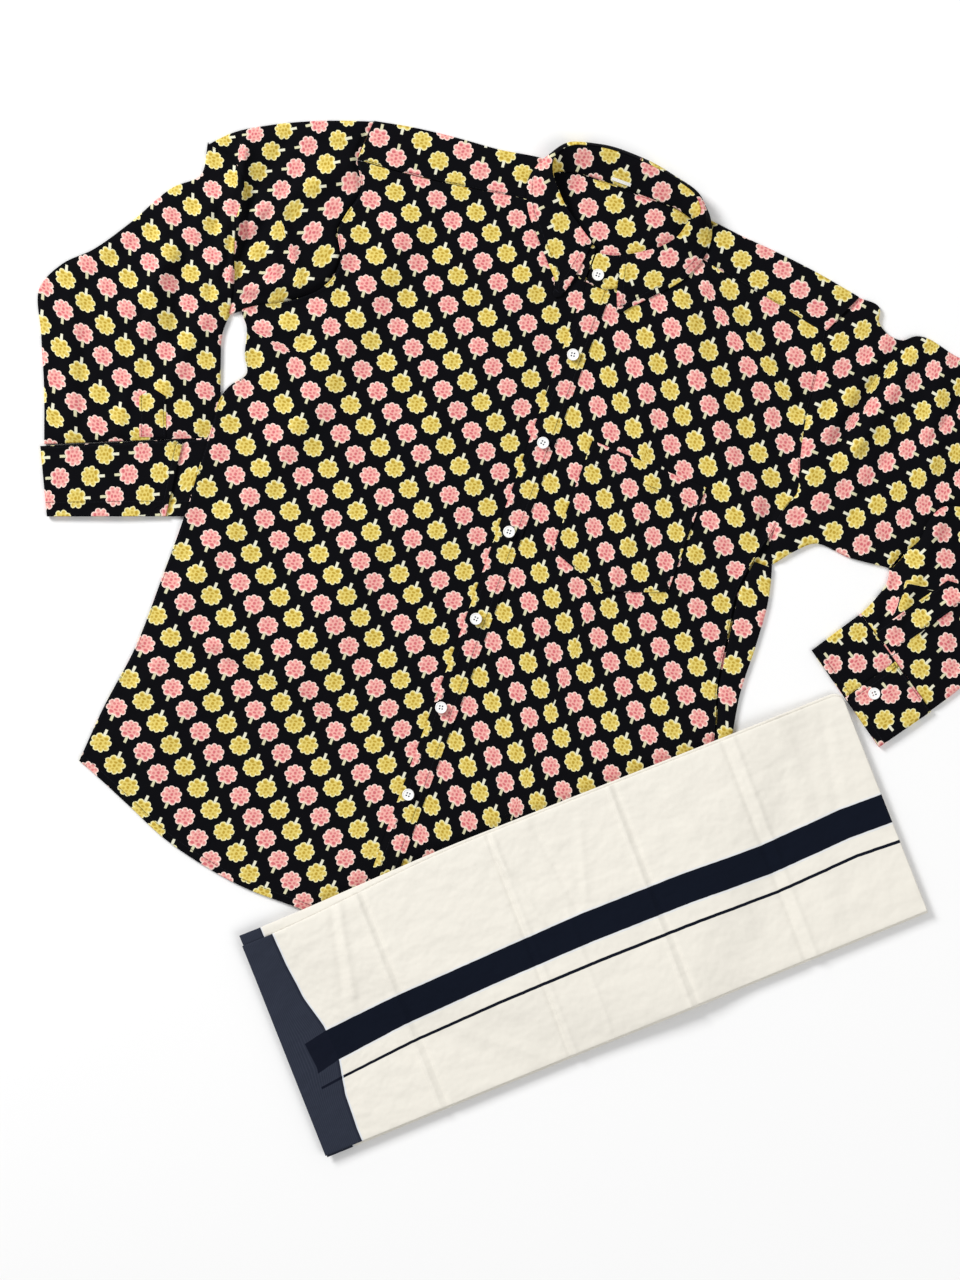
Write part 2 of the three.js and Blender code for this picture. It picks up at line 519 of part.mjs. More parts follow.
// A cuff is one band wound flat: an inner end, a fold, the under side, a fold and the outer end.
// The function it returns gives the point at a share of its width and depth.
function addCuff(shirt, name, { openStart, openEnd, seamStart, seamEnd }, { outerEnd, innerEnd }) {
  const spot = (share, depth, z) => new THREE.Vector3(
    lerp(lerp(openStart.x, openEnd.x, share), lerp(seamStart.x, seamEnd.x, share), depth),
    lerp(lerp(openStart.y, openEnd.y, share), lerp(seamStart.y, seamEnd.y, share), depth),
    z,
  );
  // Levels are counted in layers above the under side
  const wound = [
    { share: innerEnd, level: 1 }, { share: (1 + innerEnd) / 2, level: 1.2 },
    { share: 1 - cuffFold, level: 1.6 },
    { share: 1 - cuffFold / 3, level: 0.8 }, { share: 1 - cuffFold, level: 0 }, { share: 0.75, level: 0 },
    { share: 0.5, level: 0 }, { share: 0.25, level: 0 }, { share: cuffFold, level: 0 },
    { share: cuffFold / 3, level: 1.4 }, { share: cuffFold * 1.4, level: 2.6 }, { share: 0.25, level: 3 },
    { share: 0.5 * outerEnd + 0.12, level: 3 }, { share: outerEnd, level: 2.6 },
  ];
  const rows = even(4).map((depth) => (
    wound.map(({ share, level }) => spot(share, depth, backLevel + level * layer))));
  piece(shirt, name, wall(rows));
  return spot;
}

function addCuffs(shirt, sleeves) {
  addCuff(shirt, 'cuff_left', {
    openStart: { x: -407, y: -388 }, openEnd: { x: -287.5, y: -345 },
    seamStart: { x: -434, y: -327.2 }, seamEnd: { x: -293, y: -269.2 },
  }, { outerEnd: 0.9, innerEnd: 0.7 });
  const onRightCuff = addCuff(shirt, 'cuff_right', {
    openStart: { x: 398, y: -324 }, openEnd: { x: 308.5, y: -261 },
    seamStart: { x: 432.2, y: -275.8 }, seamEnd: { x: 339.6, y: -213.3 },
  }, { outerEnd: 0.51, innerEnd: 0.3 });
  const cuffTop = backLevel + 3 * layer + cloth / 2 + seamGap;
  const cuffButton = piece(shirt, 'cuff_button', buttonGeometry(), colours.white, 0.35);
  cuffButton.position.copy(onRightCuff(0.395, 0.42, cuffTop));
  // Bands with a pointed end that finish the slit above each cuff
  const bands = [
    { side: 'left', x: -338, y: -287, turn: 20.07, width: 25, length: 46, point: 8, above: 2 * seamGap },
    { side: 'right', x: 367, y: -232, turn: -34.9, width: 25, length: 92, point: 10, above: 4 * seamGap },
  ];
  for (const { side, x, y, turn, width, length, point, above } of bands) {
    const angle = THREE.MathUtils.degToRad(turn);
    const rows = even(10).map((t) => even(4).reverse().map((s) => {
      const across = (s - 0.5) * width;
      const along = 2 + t * (length - (point * Math.abs(s - 0.5)) / 0.5);
      const spot = {
        x: x + across * Math.cos(angle) - along * Math.sin(angle),
        y: y + across * Math.sin(angle) + along * Math.cos(angle),
      };
      return point3(spot, topOf(sleeves[side], spot) + above + cloth / 2);
    }));
    piece(shirt, `sleeve_placket_${side}`, wall(rows));
  }
}

function buttonGeometry() {
  const round = (x, y, radius, sides) => even(sides).slice(1).map((turn) => (
    new THREE.Vector2(x + radius * Math.cos(turn * Math.PI * 2), y + radius * Math.sin(turn * Math.PI * 2))));
  const outline = new THREE.Shape(round(0, 0, buttonRadius, 16));
  const holes = [[1, 1], [-1, 1], [-1, -1], [1, -1]];
  outline.holes = holes.map(([x, y]) => new THREE.Path(round(x * holeOffset, y * holeOffset, holeRadius, 6)));
  return new THREE.ExtrudeGeometry(outline, { depth: buttonWall, bevelEnabled: false });
}

function addButtons(shirt, collarStand, frontBand) {
  buttonHeights.forEach((y, index) => {
    const x = buttonDrift[index];
    const button = piece(shirt, `button_${index + 1}`, buttonGeometry(), colours.white, 0.35);
    button.position.set(x, y, topOf(index ? frontBand : collarStand, { x, y }) + 1.5 * seamGap);
  });
}

// The part of the shirt that the mundu covers, in the mundu's own plan
function shirtInMundu() {
  const outline = [
    ...rightRoll.slice(0, 6).reverse(), ...rightHem.slice(0, -1).reverse(), ...hem.slice(1).reverse(),
    { x: -150, y: -400 },
  ];
  const toMundu = ({ x, y }) => {
    const spot = new THREE.Vector2(x, y).rotateAround(new THREE.Vector2(), shirtTurn);
    return spot.sub(munduPlace).rotateAround(new THREE.Vector2(), -munduTurn);
  };
  return outline.map(toMundu);
}

// Distance outside an outline, and 0 inside it
function distanceOutside(outline, x, y) {
  let nearest = Infinity;
  let inside = false;
  outline.forEach((a, k) => {
    const b = outline[(k + 1) % outline.length];
    const share = ((x - a.x) * (b.x - a.x) + (y - a.y) * (b.y - a.y)) / a.distanceToSquared(b);
    const part = THREE.MathUtils.clamp(share, 0, 1);
    nearest = Math.min(nearest, Math.hypot(x - lerp(a.x, b.x, part), y - lerp(a.y, b.y, part)));
    if (a.y > y !== b.y > y && x < ((b.x - a.x) * (y - a.y)) / (b.y - a.y) + a.x) inside = !inside;
  });
  return inside ? 0 : nearest;
}

const underMundu = shirtInMundu();
// Distance outside the shirt over which the mundu comes down to the surface
const liftReach = { start: 16, under: 62, over: 80 };

// How far the shirt lifts the mundu at a point
function lifted(x, y, reach) {
  return shirtUnderMundu * (1 - smoothstep(distanceOutside(underMundu, x, y), liftReach.start, reach));
}

// Plan of a folded layer: its long edges bow a little, and its corners are round
function munduPlan(s, t, { left, right, bottom, top }) {
  const x = lerp(left, right, s);
  const low = lerp(bottom, bottom + 6, s);
  const high = lerp(top.start, top.end, smoothstep(s, 0, 0.4));
  const intoCorner = Math.max(0, x - (right - munduCorner));
  const cut = munduCorner - Math.sqrt(munduCorner ** 2 - Math.min(intoCorner, munduCorner) ** 2);
  return { x, y: lerp(low, high, t) - cut * t };
}

const alongMundu = [...even(20).slice(0, -1), 0.965, 0.98, 0.99, 0.996, 1];

function addMundu(mundu) {
  const core = { left: 0, right: munduLength - 1, bottom: 0, top: { start: 216, end: munduWidth - 1 } };
  const across = even(8);
  const rings = munduLayers * 2;
  // The stack's rim goes in between its layers
  const rimInset = 1.3;
  const outlineOf = (s, t, inset) => {
    const centre = { x: munduLength / 2, y: munduWidth / 2 };
    const spot = munduPlan(s, t, core);
    const shrinkX = 1 - inset / centre.x;
    const shrinkY = 1 - inset / centre.y;
    return { x: centre.x + (spot.x - centre.x) * shrinkX, y: centre.y + (spot.y - centre.y) * shrinkY };
  };
  const bottomAt = ({ x, y }) => lifted(x, y, liftReach.under);
  const topAt = ({ x, y }) => coreHeight + lifted(x, y, liftReach.over);
  const positions = [];
  const faces = [];
  const add = ({ x, y }, z) => positions.push(x, y, z) / 3 - 1;
  const quad = (a, b, c, d) => faces.push(a, b, c, a, c, d);
  const grid = (height, inset) => alongMundu.map((s) => across.map((t) => {
    const spot = outlineOf(s, t, inset);
    return add(spot, height(spot));
  }));
  const lower = grid(bottomAt, rimInset);
  const upper = grid(topAt, rimInset);
  const lastI = alongMundu.length - 1;
  const lastJ = across.length - 1;
  for (let i = 0; i < lastI; i += 1) {
    for (let j = 0; j < lastJ; j += 1) {
      quad(upper[i][j], upper[i + 1][j], upper[i + 1][j + 1], upper[i][j + 1]);
      quad(lower[i][j], lower[i][j + 1], lower[i + 1][j + 1], lower[i + 1][j]);
    }
  }
  const loop = [];
  for (let i = 0; i < lastI; i += 1) loop.push([i, 0]);
  for (let j = 0; j < lastJ; j += 1) loop.push([lastI, j]);
  for (let i = lastI; i > 0; i -= 1) loop.push([i, lastJ]);
  for (let j = lastJ; j > 0; j -= 1) loop.push([0, j]);
  const levels = [loop.map(([i, j]) => lower[i][j])];
  for (let ring = 1; ring < rings; ring += 1) {
    const inset = ring % 2 ? 0 : rimInset;
    levels.push(loop.map(([i, j]) => {
      const spot = outlineOf(alongMundu[i], across[j], inset);
      return add(spot, lerp(bottomAt(spot), topAt(spot), ring / rings));
    }));
  }
  levels.push(loop.map(([i, j]) => upper[i][j]));
  for (let ring = 0; ring < rings; ring += 1) {
    loop.forEach((_, k) => {
      const next = (k + 1) % loop.length;
      quad(levels[ring][k], levels[ring][next], levels[ring + 1][next], levels[ring + 1][k]);
    });
  }
  const geometry = new THREE.BufferGeometry();
  geometry.setAttribute('position', new THREE.Float32BufferAttribute(positions, 3));
  geometry.setIndex(faces);
  geometry.computeVertexNormals();
  piece(mundu, 'mundu_folds', geometry, colours.cream);
  // Two layers lie on the stack. The lower one shows past the upper one's long edge.
  const sheets = [
    { name: 'mundu_second', rise: munduGap + cloth / 2, left: -3, right: munduLength, bottom: -1,
      top: { start: 222, end: 227.5 } },
    { name: 'mundu_top', rise: 2.5 * munduGap + 1.5 * cloth, left: -4, right: munduLength, bottom: 1,
      top: { start: 212, end: 227 } },
  ];
  for (const sheet of sheets) {
    const rows = across.map((t) => [...alongMundu].reverse().map((s) => {
      const spot = munduPlan(s, t, sheet);
      return point3(spot, topAt(munduPlan(s, t, core)) + sheet.rise);
    }));
    piece(mundu, sheet.name, wall(rows), colours.cream);
  }
}

const shirt = new THREE.Group();
addBack(shirt);
addYoke(shirt);
const fronts = addFronts(shirt);
const placket = addPlacket(shirt, fronts.left);
addPocket(shirt, fronts.right);
const collarStand = addCollar(shirt);
addCuffs(shirt, { left: addLeftSleeve(shirt), right: addRightSleeve(shirt) });
addButtons(shirt, collarStand, placket);
shirt.rotation.z = shirtTurn;

const mundu = new THREE.Group();
addMundu(mundu);
mundu.position.set(munduPlace.x, munduPlace.y, 0);
mundu.rotation.z = munduTurn;

// The origin is the middle of the underside
const set = new THREE.Group();
set.add(shirt, mundu);
const bounds = new THREE.Box3().setFromObject(set, true);
const centre = bounds.getCenter(new THREE.Vector3());
set.position.set(-centre.x, -centre.y, -bounds.min.z);

export default set;
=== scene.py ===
import math

import bpy
import numpy as np
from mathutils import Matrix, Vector
from mathutils.bvhtree import BVHTree


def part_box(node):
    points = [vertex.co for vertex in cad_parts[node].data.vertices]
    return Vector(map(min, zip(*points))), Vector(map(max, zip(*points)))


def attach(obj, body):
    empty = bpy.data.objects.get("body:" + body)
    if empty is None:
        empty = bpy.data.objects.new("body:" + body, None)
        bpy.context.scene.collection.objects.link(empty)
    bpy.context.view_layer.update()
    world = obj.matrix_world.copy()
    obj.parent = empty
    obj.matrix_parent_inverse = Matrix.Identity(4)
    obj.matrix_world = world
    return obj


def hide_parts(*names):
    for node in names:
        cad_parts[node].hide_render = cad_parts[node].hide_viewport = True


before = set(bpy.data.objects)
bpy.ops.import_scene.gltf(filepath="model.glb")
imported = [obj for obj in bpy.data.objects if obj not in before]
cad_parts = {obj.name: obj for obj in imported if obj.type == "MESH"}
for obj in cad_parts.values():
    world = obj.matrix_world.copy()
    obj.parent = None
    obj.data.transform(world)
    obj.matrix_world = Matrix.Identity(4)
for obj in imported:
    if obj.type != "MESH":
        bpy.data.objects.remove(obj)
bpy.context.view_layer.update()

# Placing. Tables are in millimetres in the shirt's own plan, with the top button at 0, 0 and the hem at -Y.
buttonLow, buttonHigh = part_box("button_1")
topButton = (buttonLow + buttonHigh) / 2


class Plan:
    def __init__(self, x, y, turn):
        self.x, self.y, self.turn = x, y, math.radians(turn)

    def place(self, points):  # mm in this plan to metres in the row's frame
        c, s = math.cos(self.turn), math.sin(self.turn)
        x, y = points[..., 0] / 1000, points[..., 1] / 1000
        return np.stack([self.x + c * x - s * y, self.y + s * x + c * y, points[..., 2] / 1000], -1)

    def local(self, points):  # and back
        c, s = math.cos(self.turn), math.sin(self.turn)
        x, y = (points[..., 0] - self.x) * 1000, (points[..., 1] - self.y) * 1000
        return np.stack([c * x + s * y, c * y - s * x], -1)


placing = {"shirtTurn": -20.07, "munduTurn": 21.6, "munduX": -0.2505, "munduY": -0.8224}  # degrees, metres
shirtPlan = Plan(topButton.x, topButton.y, placing["shirtTurn"])
munduPlan = Plan(topButton.x + placing["munduX"], topButton.y + placing["munduY"], placing["munduTurn"])


# Geometry helpers
def lerp(a, b, t):
    return a + (b - a) * t


def smooth(x, low, high):
    t = np.clip((x - low) / (high - low), 0, 1)
    return t * t * (3 - 2 * t)


def bell(distance, width):
    return np.exp(-2 * (distance / width) ** 2)


def raised(grid, z):  # plan points with their heights
    return np.concatenate([grid[..., :2], np.broadcast_to(z, grid.shape[:-1])[..., None]], -1)


def runLength(points, axis=0):  # distance of each point from the first, along the line
    steps = np.linalg.norm(np.diff(points, axis=axis), axis=-1)
    return np.concatenate([np.zeros_like(np.take(steps, [0], axis)), np.cumsum(steps, axis)], axis)


def ridges(table, x, y):  # rows are x0, y0, x1, y1, width, height
    total = np.zeros(np.broadcast(x, y).shape)
    for x0, y0, x1, y1, width, height in table:
        alongX, alongY = x1 - x0, y1 - y0
        length = math.hypot(alongX, alongY)
        along = ((x - x0) * alongX + (y - y0) * alongY) / length
        aside = ((x - x0) * alongY - (y - y0) * alongX) / length
        past = np.maximum(0, np.maximum(-along, along - length))
        total += height * bell(np.hypot(aside, past * 0.6), width)
    return total


def pulled(points, table):  # rows are x0, y0, x1, y1, takeUp, width: cloth hidden in a tuck
    moved = points.copy()
    for x0, y0, x1, y1, takeUp, width in table:
        alongX, alongY = x1 - x0, y1 - y0
        length = math.hypot(alongX, alongY)
        along = ((points[..., 0] - x0) * alongX + (points[..., 1] - y0) * alongY) / length
        aside = ((points[..., 0] - x0) * alongY - (points[..., 1] - y0) * alongX) / length
        fade = smooth(along, -14, 8) * (1 - smooth(along, length - 8, length + 14))
        shift = np.tanh(aside / width) * np.exp(-np.abs(aside) / 38) * fade * takeUp / 2
        moved[..., 0] += shift * alongY / length
        moved[..., 1] -= shift * alongX / length
    return moved


def hermite(t, step, start, end, leaving, arriving):  # cubic between two points with their slopes
    return ((2 * t**3 - 3 * t**2 + 1) * start + (t**3 - 2 * t**2 + t) * step * leaving
            + (3 * t**2 - 2 * t**3) * end + (t**3 - t**2) * step * arriving)


def curve(points, byHeight=False, straight=False):  # a line through points, by share of its length or height
    points = np.array(points, float)
    steps = np.abs(np.diff(points[:, 1])) if byHeight else np.hypot(*np.diff(points, axis=0)[:, :2].T)
    reach = np.concatenate([[0], np.cumsum(steps)]) / steps.sum()
    gap = np.diff(reach)[:, None]
    slope = np.diff(points, axis=0) / gap
    inner = (slope[:-1] * gap[1:] + slope[1:] * gap[:-1]) / (gap[:-1] + gap[1:])
    tangent = np.vstack([slope[:1], inner, slope[-1:]])

    def at(share):
        share = np.asarray(share, float)
        k = np.clip(np.searchsorted(reach, share, side="right") - 1, 0, len(points) - 2)
        step = (reach[k + 1] - reach[k])[..., None]
        t = (share[..., None] - reach[k][..., None]) / step
        if straight:
            return lerp(points[k], points[k + 1], t)
        return hermite(t, step, points[k], points[k + 1], tangent[k], tangent[k + 1])

    return at


def stations(count, rim=0.004):  # even, with a close pair at each end so that the edge stays crisp
    return np.unique(np.concatenate([[0, rim], np.linspace(0, 1, count + 1), [1 - rim, 1]]))


def patch(low, high, near, far, s, t):  # a grid between four lines, and each point's distance to each line
    bottom, top, left, right = low(s)[None], high(s)[None], near(t)[:, None], far(t)[:, None]
    over, up = s[None, :, None], t[:, None, None]
    grid = (lerp(bottom, top, up) + lerp(left, right, over)
            - lerp(lerp(bottom[:, :1], top[:, :1], up), lerp(bottom[:, -1:], top[:, -1:], up), over))
    width = np.linalg.norm(right - left, axis=-1)
    height = np.linalg.norm(top - bottom, axis=-1)
    return grid, {"near": s[None] * width, "far": (1 - s)[None] * width,
                  "low": t[:, None] * height, "high": (1 - t)[:, None] * height}


def grain(points, turn, offset):  # cloth coordinates in mm: turn in degrees, offset of a flower's middle
    angle = math.radians(turn)
    x, y = points[..., 0], points[..., 1]
    return np.stack([x * math.cos(angle) + y * math.sin(angle) - offset[0],
                     y * math.cos(angle) - x * math.sin(angle) - offset[1]], -1)


def bent(points, middle, across, along):  # the same for bent cloth: terms 1, x, y, xx, xy, yy in dm
    x, y = (points[..., 0] - middle[0]) / 100, (points[..., 1] - middle[1]) / 100
    terms = np.stack([np.ones(x.shape), x, y, x * x, x * y, y * y], -1)
    return np.stack([terms @ np.array(across), terms @ np.array(along)], -1)


def noStitch(shape):
    return np.full(shape + (2,), 99.0)


def stitchLine(*lines):  # rows are distance, inset, run: the nearest of them
    shape = np.broadcast(*[d for d, inset, run in lines]).shape
    away = np.stack([np.broadcast_to(d - inset, shape) for d, inset, run in lines])
    runs = np.stack([np.broadcast_to(run, shape) for d, inset, run in lines])
    pick = np.abs(away).argmin(0)[None]
    return np.stack([np.take_along_axis(away, pick, 0)[0], np.take_along_axis(runs, pick, 0)[0]], -1)


tops = {}  # a search tree for each cloth that is made


def topOf(name, points):  # height in mm of a piece's top at plan points
    heights = []
    for x, y, z in shirtPlan.place(raised(points, 0)).reshape(-1, 3):
        hit = tops[name].ray_cast(Vector((x, y, 0.2)), Vector((0, 0, -1)))[0]
        heights.append(hit.z * 1000 if hit else np.nan)
    heights = np.array(heights)
    heights[np.isnan(heights)] = np.nanmin(heights)
    return heights.reshape(points.shape[:-1])


def cloth(name, points, uv, seam=None, hem=None, plan=shirtPlan, keep=None, wall=0.5, material=None,
          nodes=None):  # a grid of points as a thin sheet, its top side given, walls in mm
    rows, columns = points.shape[:2]
    verts = plan.place(points).reshape(-1, 3)
    index = np.arange(rows * columns).reshape(rows, columns)
    quads = np.stack([index[:-1, :-1], index[:-1, 1:], index[1:, 1:], index[1:, :-1]], -1)
    faces = quads.reshape(-1, 4) if keep is None else quads[keep]
    used = np.unique(faces)
    renumber = np.zeros(rows * columns, int)
    renumber[used] = np.arange(len(used))
    verts, faces = verts[used], renumber[faces]
    mesh = bpy.data.meshes.new(name)
    mesh.from_pydata(verts.tolist(), [], faces.tolist())
    layers = {"print": uv / 100}
    if seam is not None:
        layers |= {"seam": seam, "hem": noStitch((rows, columns)) if hem is None else hem}
    for layer, values in layers.items():
        corners = values.reshape(-1, 2)[used][faces.ravel()]
        mesh.uv_layers.new(name=layer).data.foreach_set("uv", corners.astype(np.float32).ravel())
    mesh.polygons.foreach_set("use_smooth", np.ones(len(faces), bool))
    mesh.update()
    piece = bpy.data.objects.new(name, mesh)
    bpy.context.collection.objects.link(piece)
    shell = piece.modifiers.new("shell", "SOLIDIFY")
    shell.thickness = wall / 1000
    shell.offset = -1
    mesh.materials.append(material)
    nodes = nodes or [name.removeprefix("cloth_")]
    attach(piece, "root")
    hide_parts(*nodes)
    tops[nodes[0]] = BVHTree.FromPolygons([Vector(v) for v in verts], faces.tolist())
    return piece


# Shader helpers
def tint(red, green, blue):  # screen values, 0 to 255, to linear
    return tuple((c / 255 / 12.92) if c / 255 <= 0.04045 else ((c / 255 + 0.055) / 1.055) ** 2.4
                 for c in (red, green, blue)) + (1,)


class Value:
    def __init__(self, net, socket):
        self.net, self.socket = net, socket

    def __add__(self, other):
        return self.net.maths("ADD", self, other)

    def __radd__(self, other):
        return self.net.maths("ADD", other, self)

    def __sub__(self, other):
        return self.net.maths("SUBTRACT", self, other)

    def __rsub__(self, other):
        return self.net.maths("SUBTRACT", other, self)

    def __mul__(self, other):
        return self.net.maths("MULTIPLY", self, other)

    def __rmul__(self, other):
        return self.net.maths("MULTIPLY", other, self)

    def __truediv__(self, other):
        return self.net.maths("DIVIDE", self, other)

    def __rtruediv__(self, other):
        return self.net.maths("DIVIDE", other, self)

    def __abs__(self):
        return self.net.maths("ABSOLUTE", self)

    def __gt__(self, other):
        return self.net.maths("GREATER_THAN", self, other)

    def __lt__(self, other):
        return self.net.maths("LESS_THAN", self, other)


class Net:
    def __init__(self, name):
        self.material = bpy.data.materials.new(name)
        self.material.use_nodes = True
        self.tree = self.material.node_tree
        self.shader = self.tree.nodes["Principled BSDF"]

    def node(self, kind, settings, values, output=0):
        made = self.tree.nodes.new(kind)
        for key, setting in settings.items():
            setattr(made, key, setting)
        for key, value in values.items():
            self.put(made.inputs[key], value)
        return Value(self, made.outputs[output])

    def put(self, socket, value):
        if isinstance(value, Value):
            self.tree.links.new(value.socket, socket)
        else:
            socket.default_value = value

    def maths(self, operation, *values):
        return self.node("ShaderNodeMath", {"operation": operation}, dict(enumerate(values)))

    def vector(self, operation, values, output=0):
        return self.node("ShaderNodeVectorMath", {"operation": operation}, values, output)

    def uv(self, name, scale=1):
        place = self.node("ShaderNodeUVMap", {"uv_map": name}, {})
        x = self.node("ShaderNodeSeparateXYZ", {}, {0: place})
        y = Value(self, x.socket.node.outputs[1])
        return (x * scale, y * scale) if scale != 1 else (x, y)

    def step(self, x, low, high):  # smooth, and falling where low is above high
        falls = low > high
        ends = (high, low, 1.0, 0.0) if falls else (low, high, 0.0, 1.0)
        return self.node("ShaderNodeMapRange", {"interpolation_type": "SMOOTHSTEP"},
                         {"Value": x, "From Min": ends[0], "From Max": ends[1], "To Min": ends[2],
                          "To Max": ends[3]})

    def mix(self, factor, first, second):
        return self.node("ShaderNodeMix", {"data_type": "RGBA"}, {0: factor, 6: first, 7: second}, 2)

    def noise(self, x, y, scale, detail=2.0):
        spot = self.node("ShaderNodeCombineXYZ", {}, {0: x, 1: y})
        return self.node("ShaderNodeTexNoise", {}, {"Vector": spot, "Scale": scale, "Detail": detail})

    def bump(self, height, strength=1.0, distance=0.001):
        return self.node("ShaderNodeBump", {}, {"Height": height, "Strength": strength,
                                                "Distance": distance})

    def finish(self, **sockets):
        for key, value in sockets.items():
            self.put(self.shader.inputs[key.replace("_", " ")], value)
        return self.material


# Printed cotton, in mm. Flowers stand in columns, each column a little lower than the one to its left,
# and in a column a pink one that points up and a yellow one that points down take turns.
printed = {
    "column": 19.8, "repeat": 64.5, "drop": 14.3, "yellowAbove": 29.0,
    "unevenX": 0.7, "unevenY": 0.6, "outline": 0.12, "rimFrom": -1.1, "rimTo": -0.55, "rimStrength": 0.85,
    "spotInside": 0.6, "spotOutside": 1.3, "spotStrength": 0.9, "fading": 0.14,
    "stemHalfWidth": 1.3, "stemEnd": -13.2, "stemTop": -7, "roughness": 0.9, "sheen": 0.01, "gloss": 0.06,
}
stitching = {"length": 3.1, "halfWidth": 0.28, "groove": 1.1, "grooveDepth": 0.22, "pucker": 5.0,
             "puckerHeight": 0.8, "threadHeight": 0.15, "threadShows": 0.72, "grooveShade": 0.16}
inks = {
    "ground": tint(8, 8, 12), "thread": tint(24, 25, 31),
    "pink": tint(238, 175, 165), "pinkSpot": tint(204, 96, 106), "pinkEdge": tint(250, 226, 214),
    "yellow": tint(224, 203, 110), "yellowSpot": tint(180, 147, 44), "yellowEdge": tint(240, 236, 186),
    "pinkStem": tint(212, 208, 172), "yellowStem": tint(226, 224, 200),
}
# The right half of one flower from its middle, its stem pointing down: x, y, radius of each lobe
lobes = [(2.3, 6.0, 2.7), (6.1, 3.3, 2.75), (6.9, -1.6, 2.8), (3.4, -5.3, 3.1), (0, 0, 7.1)]
# and the strength of each group of spots, with x, y, half width, half height of each spot
spotGroups = [
    (0.6, [(2.0, 6.5, 1.2, 0.9), (5.9, 4.1, 1.1, 1.1), (7.3, -1.5, 1.1, 1.3)]),
    (0.8, [(0, 4.1, 1.3, 1.1), (3.4, 2.8, 1.3, 1.2), (4.0, -1.0, 1.3, 1.3)]),
    (1.0, [(0, 0.9, 1.4, 1.5), (0, -2.3, 1.8, 1.0), (3.2, -4.8, 2.1, 1.4)]),
]


def joined(net, operation, values):
    result = values[0]
    for value in values[1:]:
        result = net.maths(operation, result, value)
    return result


def flowerOutline(net, place):  # distance outside the flower, below 0 inside it
    return joined(net, "MINIMUM", [net.vector("DISTANCE", {0: place, 1: (x, y, 0)}, 1) - radius
                                   for x, y, radius in lobes])


def flowerSpots(net, place):
    groups = []
    for strength, rows in spotGroups:
        away = []
        for x, y, wide, high in rows:
            scaled = net.vector("MULTIPLY_ADD", {0: place, 1: (1 / wide, 1 / high, 0),
                                                 2: (-x / wide, -y / high, 0)})
            away.append(net.vector("LENGTH", {0: scaled}, 1))
        nearest = joined(net, "MINIMUM", away)
        groups.append(net.step(nearest, printed["spotOutside"], printed["spotInside"]) * strength)
    return joined(net, "MAXIMUM", groups)


def printedCotton(name="printed cotton", stitched=True):
    net = Net(name)
    u, v = net.uv("print", 100)
    column = net.maths("ROUND", u / printed["column"])
    x = u - column * printed["column"]
    rise = v + column * printed["drop"]
    lower = (printed["repeat"] - printed["yellowAbove"]) / 2
    y = rise - printed["repeat"] * net.maths("FLOOR", (rise + lower) / printed["repeat"])
    isYellow = y > printed["yellowAbove"] / 2
    y = y + isYellow * (printed["yellowAbove"] - 2 * y)
    x = x * (1 - 2 * isYellow)
    wobble = net.noise(u * 0.16, v * 0.16, 2.2, 1.0) - 0.5  # slight unevenness of the drawn outline
    x = x + wobble * printed["unevenX"]
    y = y - wobble * printed["unevenY"]
    place = net.node("ShaderNodeCombineXYZ", {}, {0: abs(x + wobble), 1: y})
    outside = flowerOutline(net, place)
    flower = net.step(outside, printed["outline"], -printed["outline"])
    rim = net.step(outside, printed["rimFrom"], printed["rimTo"])
    stem = (net.step(abs(x + 0.2), printed["stemHalfWidth"] + 0.15, printed["stemHalfWidth"] - 0.15)
            * net.step(y, printed["stemEnd"] - 0.2, printed["stemEnd"] + 0.2)
            * net.step(y, printed["stemTop"] + 0.5, printed["stemTop"] - 0.5))
    fill, spot, edge, stalk = (net.mix(isYellow, inks["pink" + part], inks["yellow" + part])
                               for part in ("", "Spot", "Edge", "Stem"))
    colour = net.mix(flowerSpots(net, place) * printed["spotStrength"], fill, spot)
    colour = net.mix(rim * printed["rimStrength"], colour, edge)
    colour = net.mix(flower, net.mix(stem, inks["ground"], stalk), colour)
    colour = net.mix(net.noise(u, v, 0.9, 3.0) * printed["fading"], colour, inks["ground"])
    # small creases, weave and the stitch lines' grooves
    creases = net.noise(u, v, 0.075, 3.0) * 0.9 + net.noise(u * 0.6, v * 1.2, 0.02, 2.0) * 2.2
    yarns = (net.noise(u * 3.2, v * 0.7, 1.0, 1.0) + net.noise(u * 0.7, v * 3.2, 1.0, 1.0)) * 0.05
    height = creases + yarns
    for layer in ("seam", "hem") if stitched else ():
        away, run = net.uv(layer)
        groove = net.step(abs(away), stitching["groove"], 0.2)
        stitch = run / stitching["length"] - net.maths("FLOOR", run / stitching["length"])
        dash = net.step(abs(stitch - 0.5), 0.42, 0.34)
        thread = net.step(abs(away), stitching["halfWidth"] + 0.08, stitching["halfWidth"] - 0.08) * dash
        pucker = net.step(abs(away), stitching["pucker"], 0.5) * net.noise(run, away * 0.15, 0.16, 1.0)
        height = (height - groove * stitching["grooveDepth"] + thread * stitching["threadHeight"]
                  + pucker * stitching["puckerHeight"])
        colour = net.mix(groove * stitching["grooveShade"], colour, inks["ground"])
        colour = net.mix(thread * stitching["threadShows"], colour, inks["thread"])
    return net.finish(Base_Color=colour, Roughness=printed["roughness"], Normal=net.bump(height),
                      Sheen_Weight=printed["sheen"], Specular_IOR_Level=printed["gloss"])


cotton = printedCotton()
plainPrint = printedCotton("printed cotton, plain", stitched=False)
print("stage: materials")

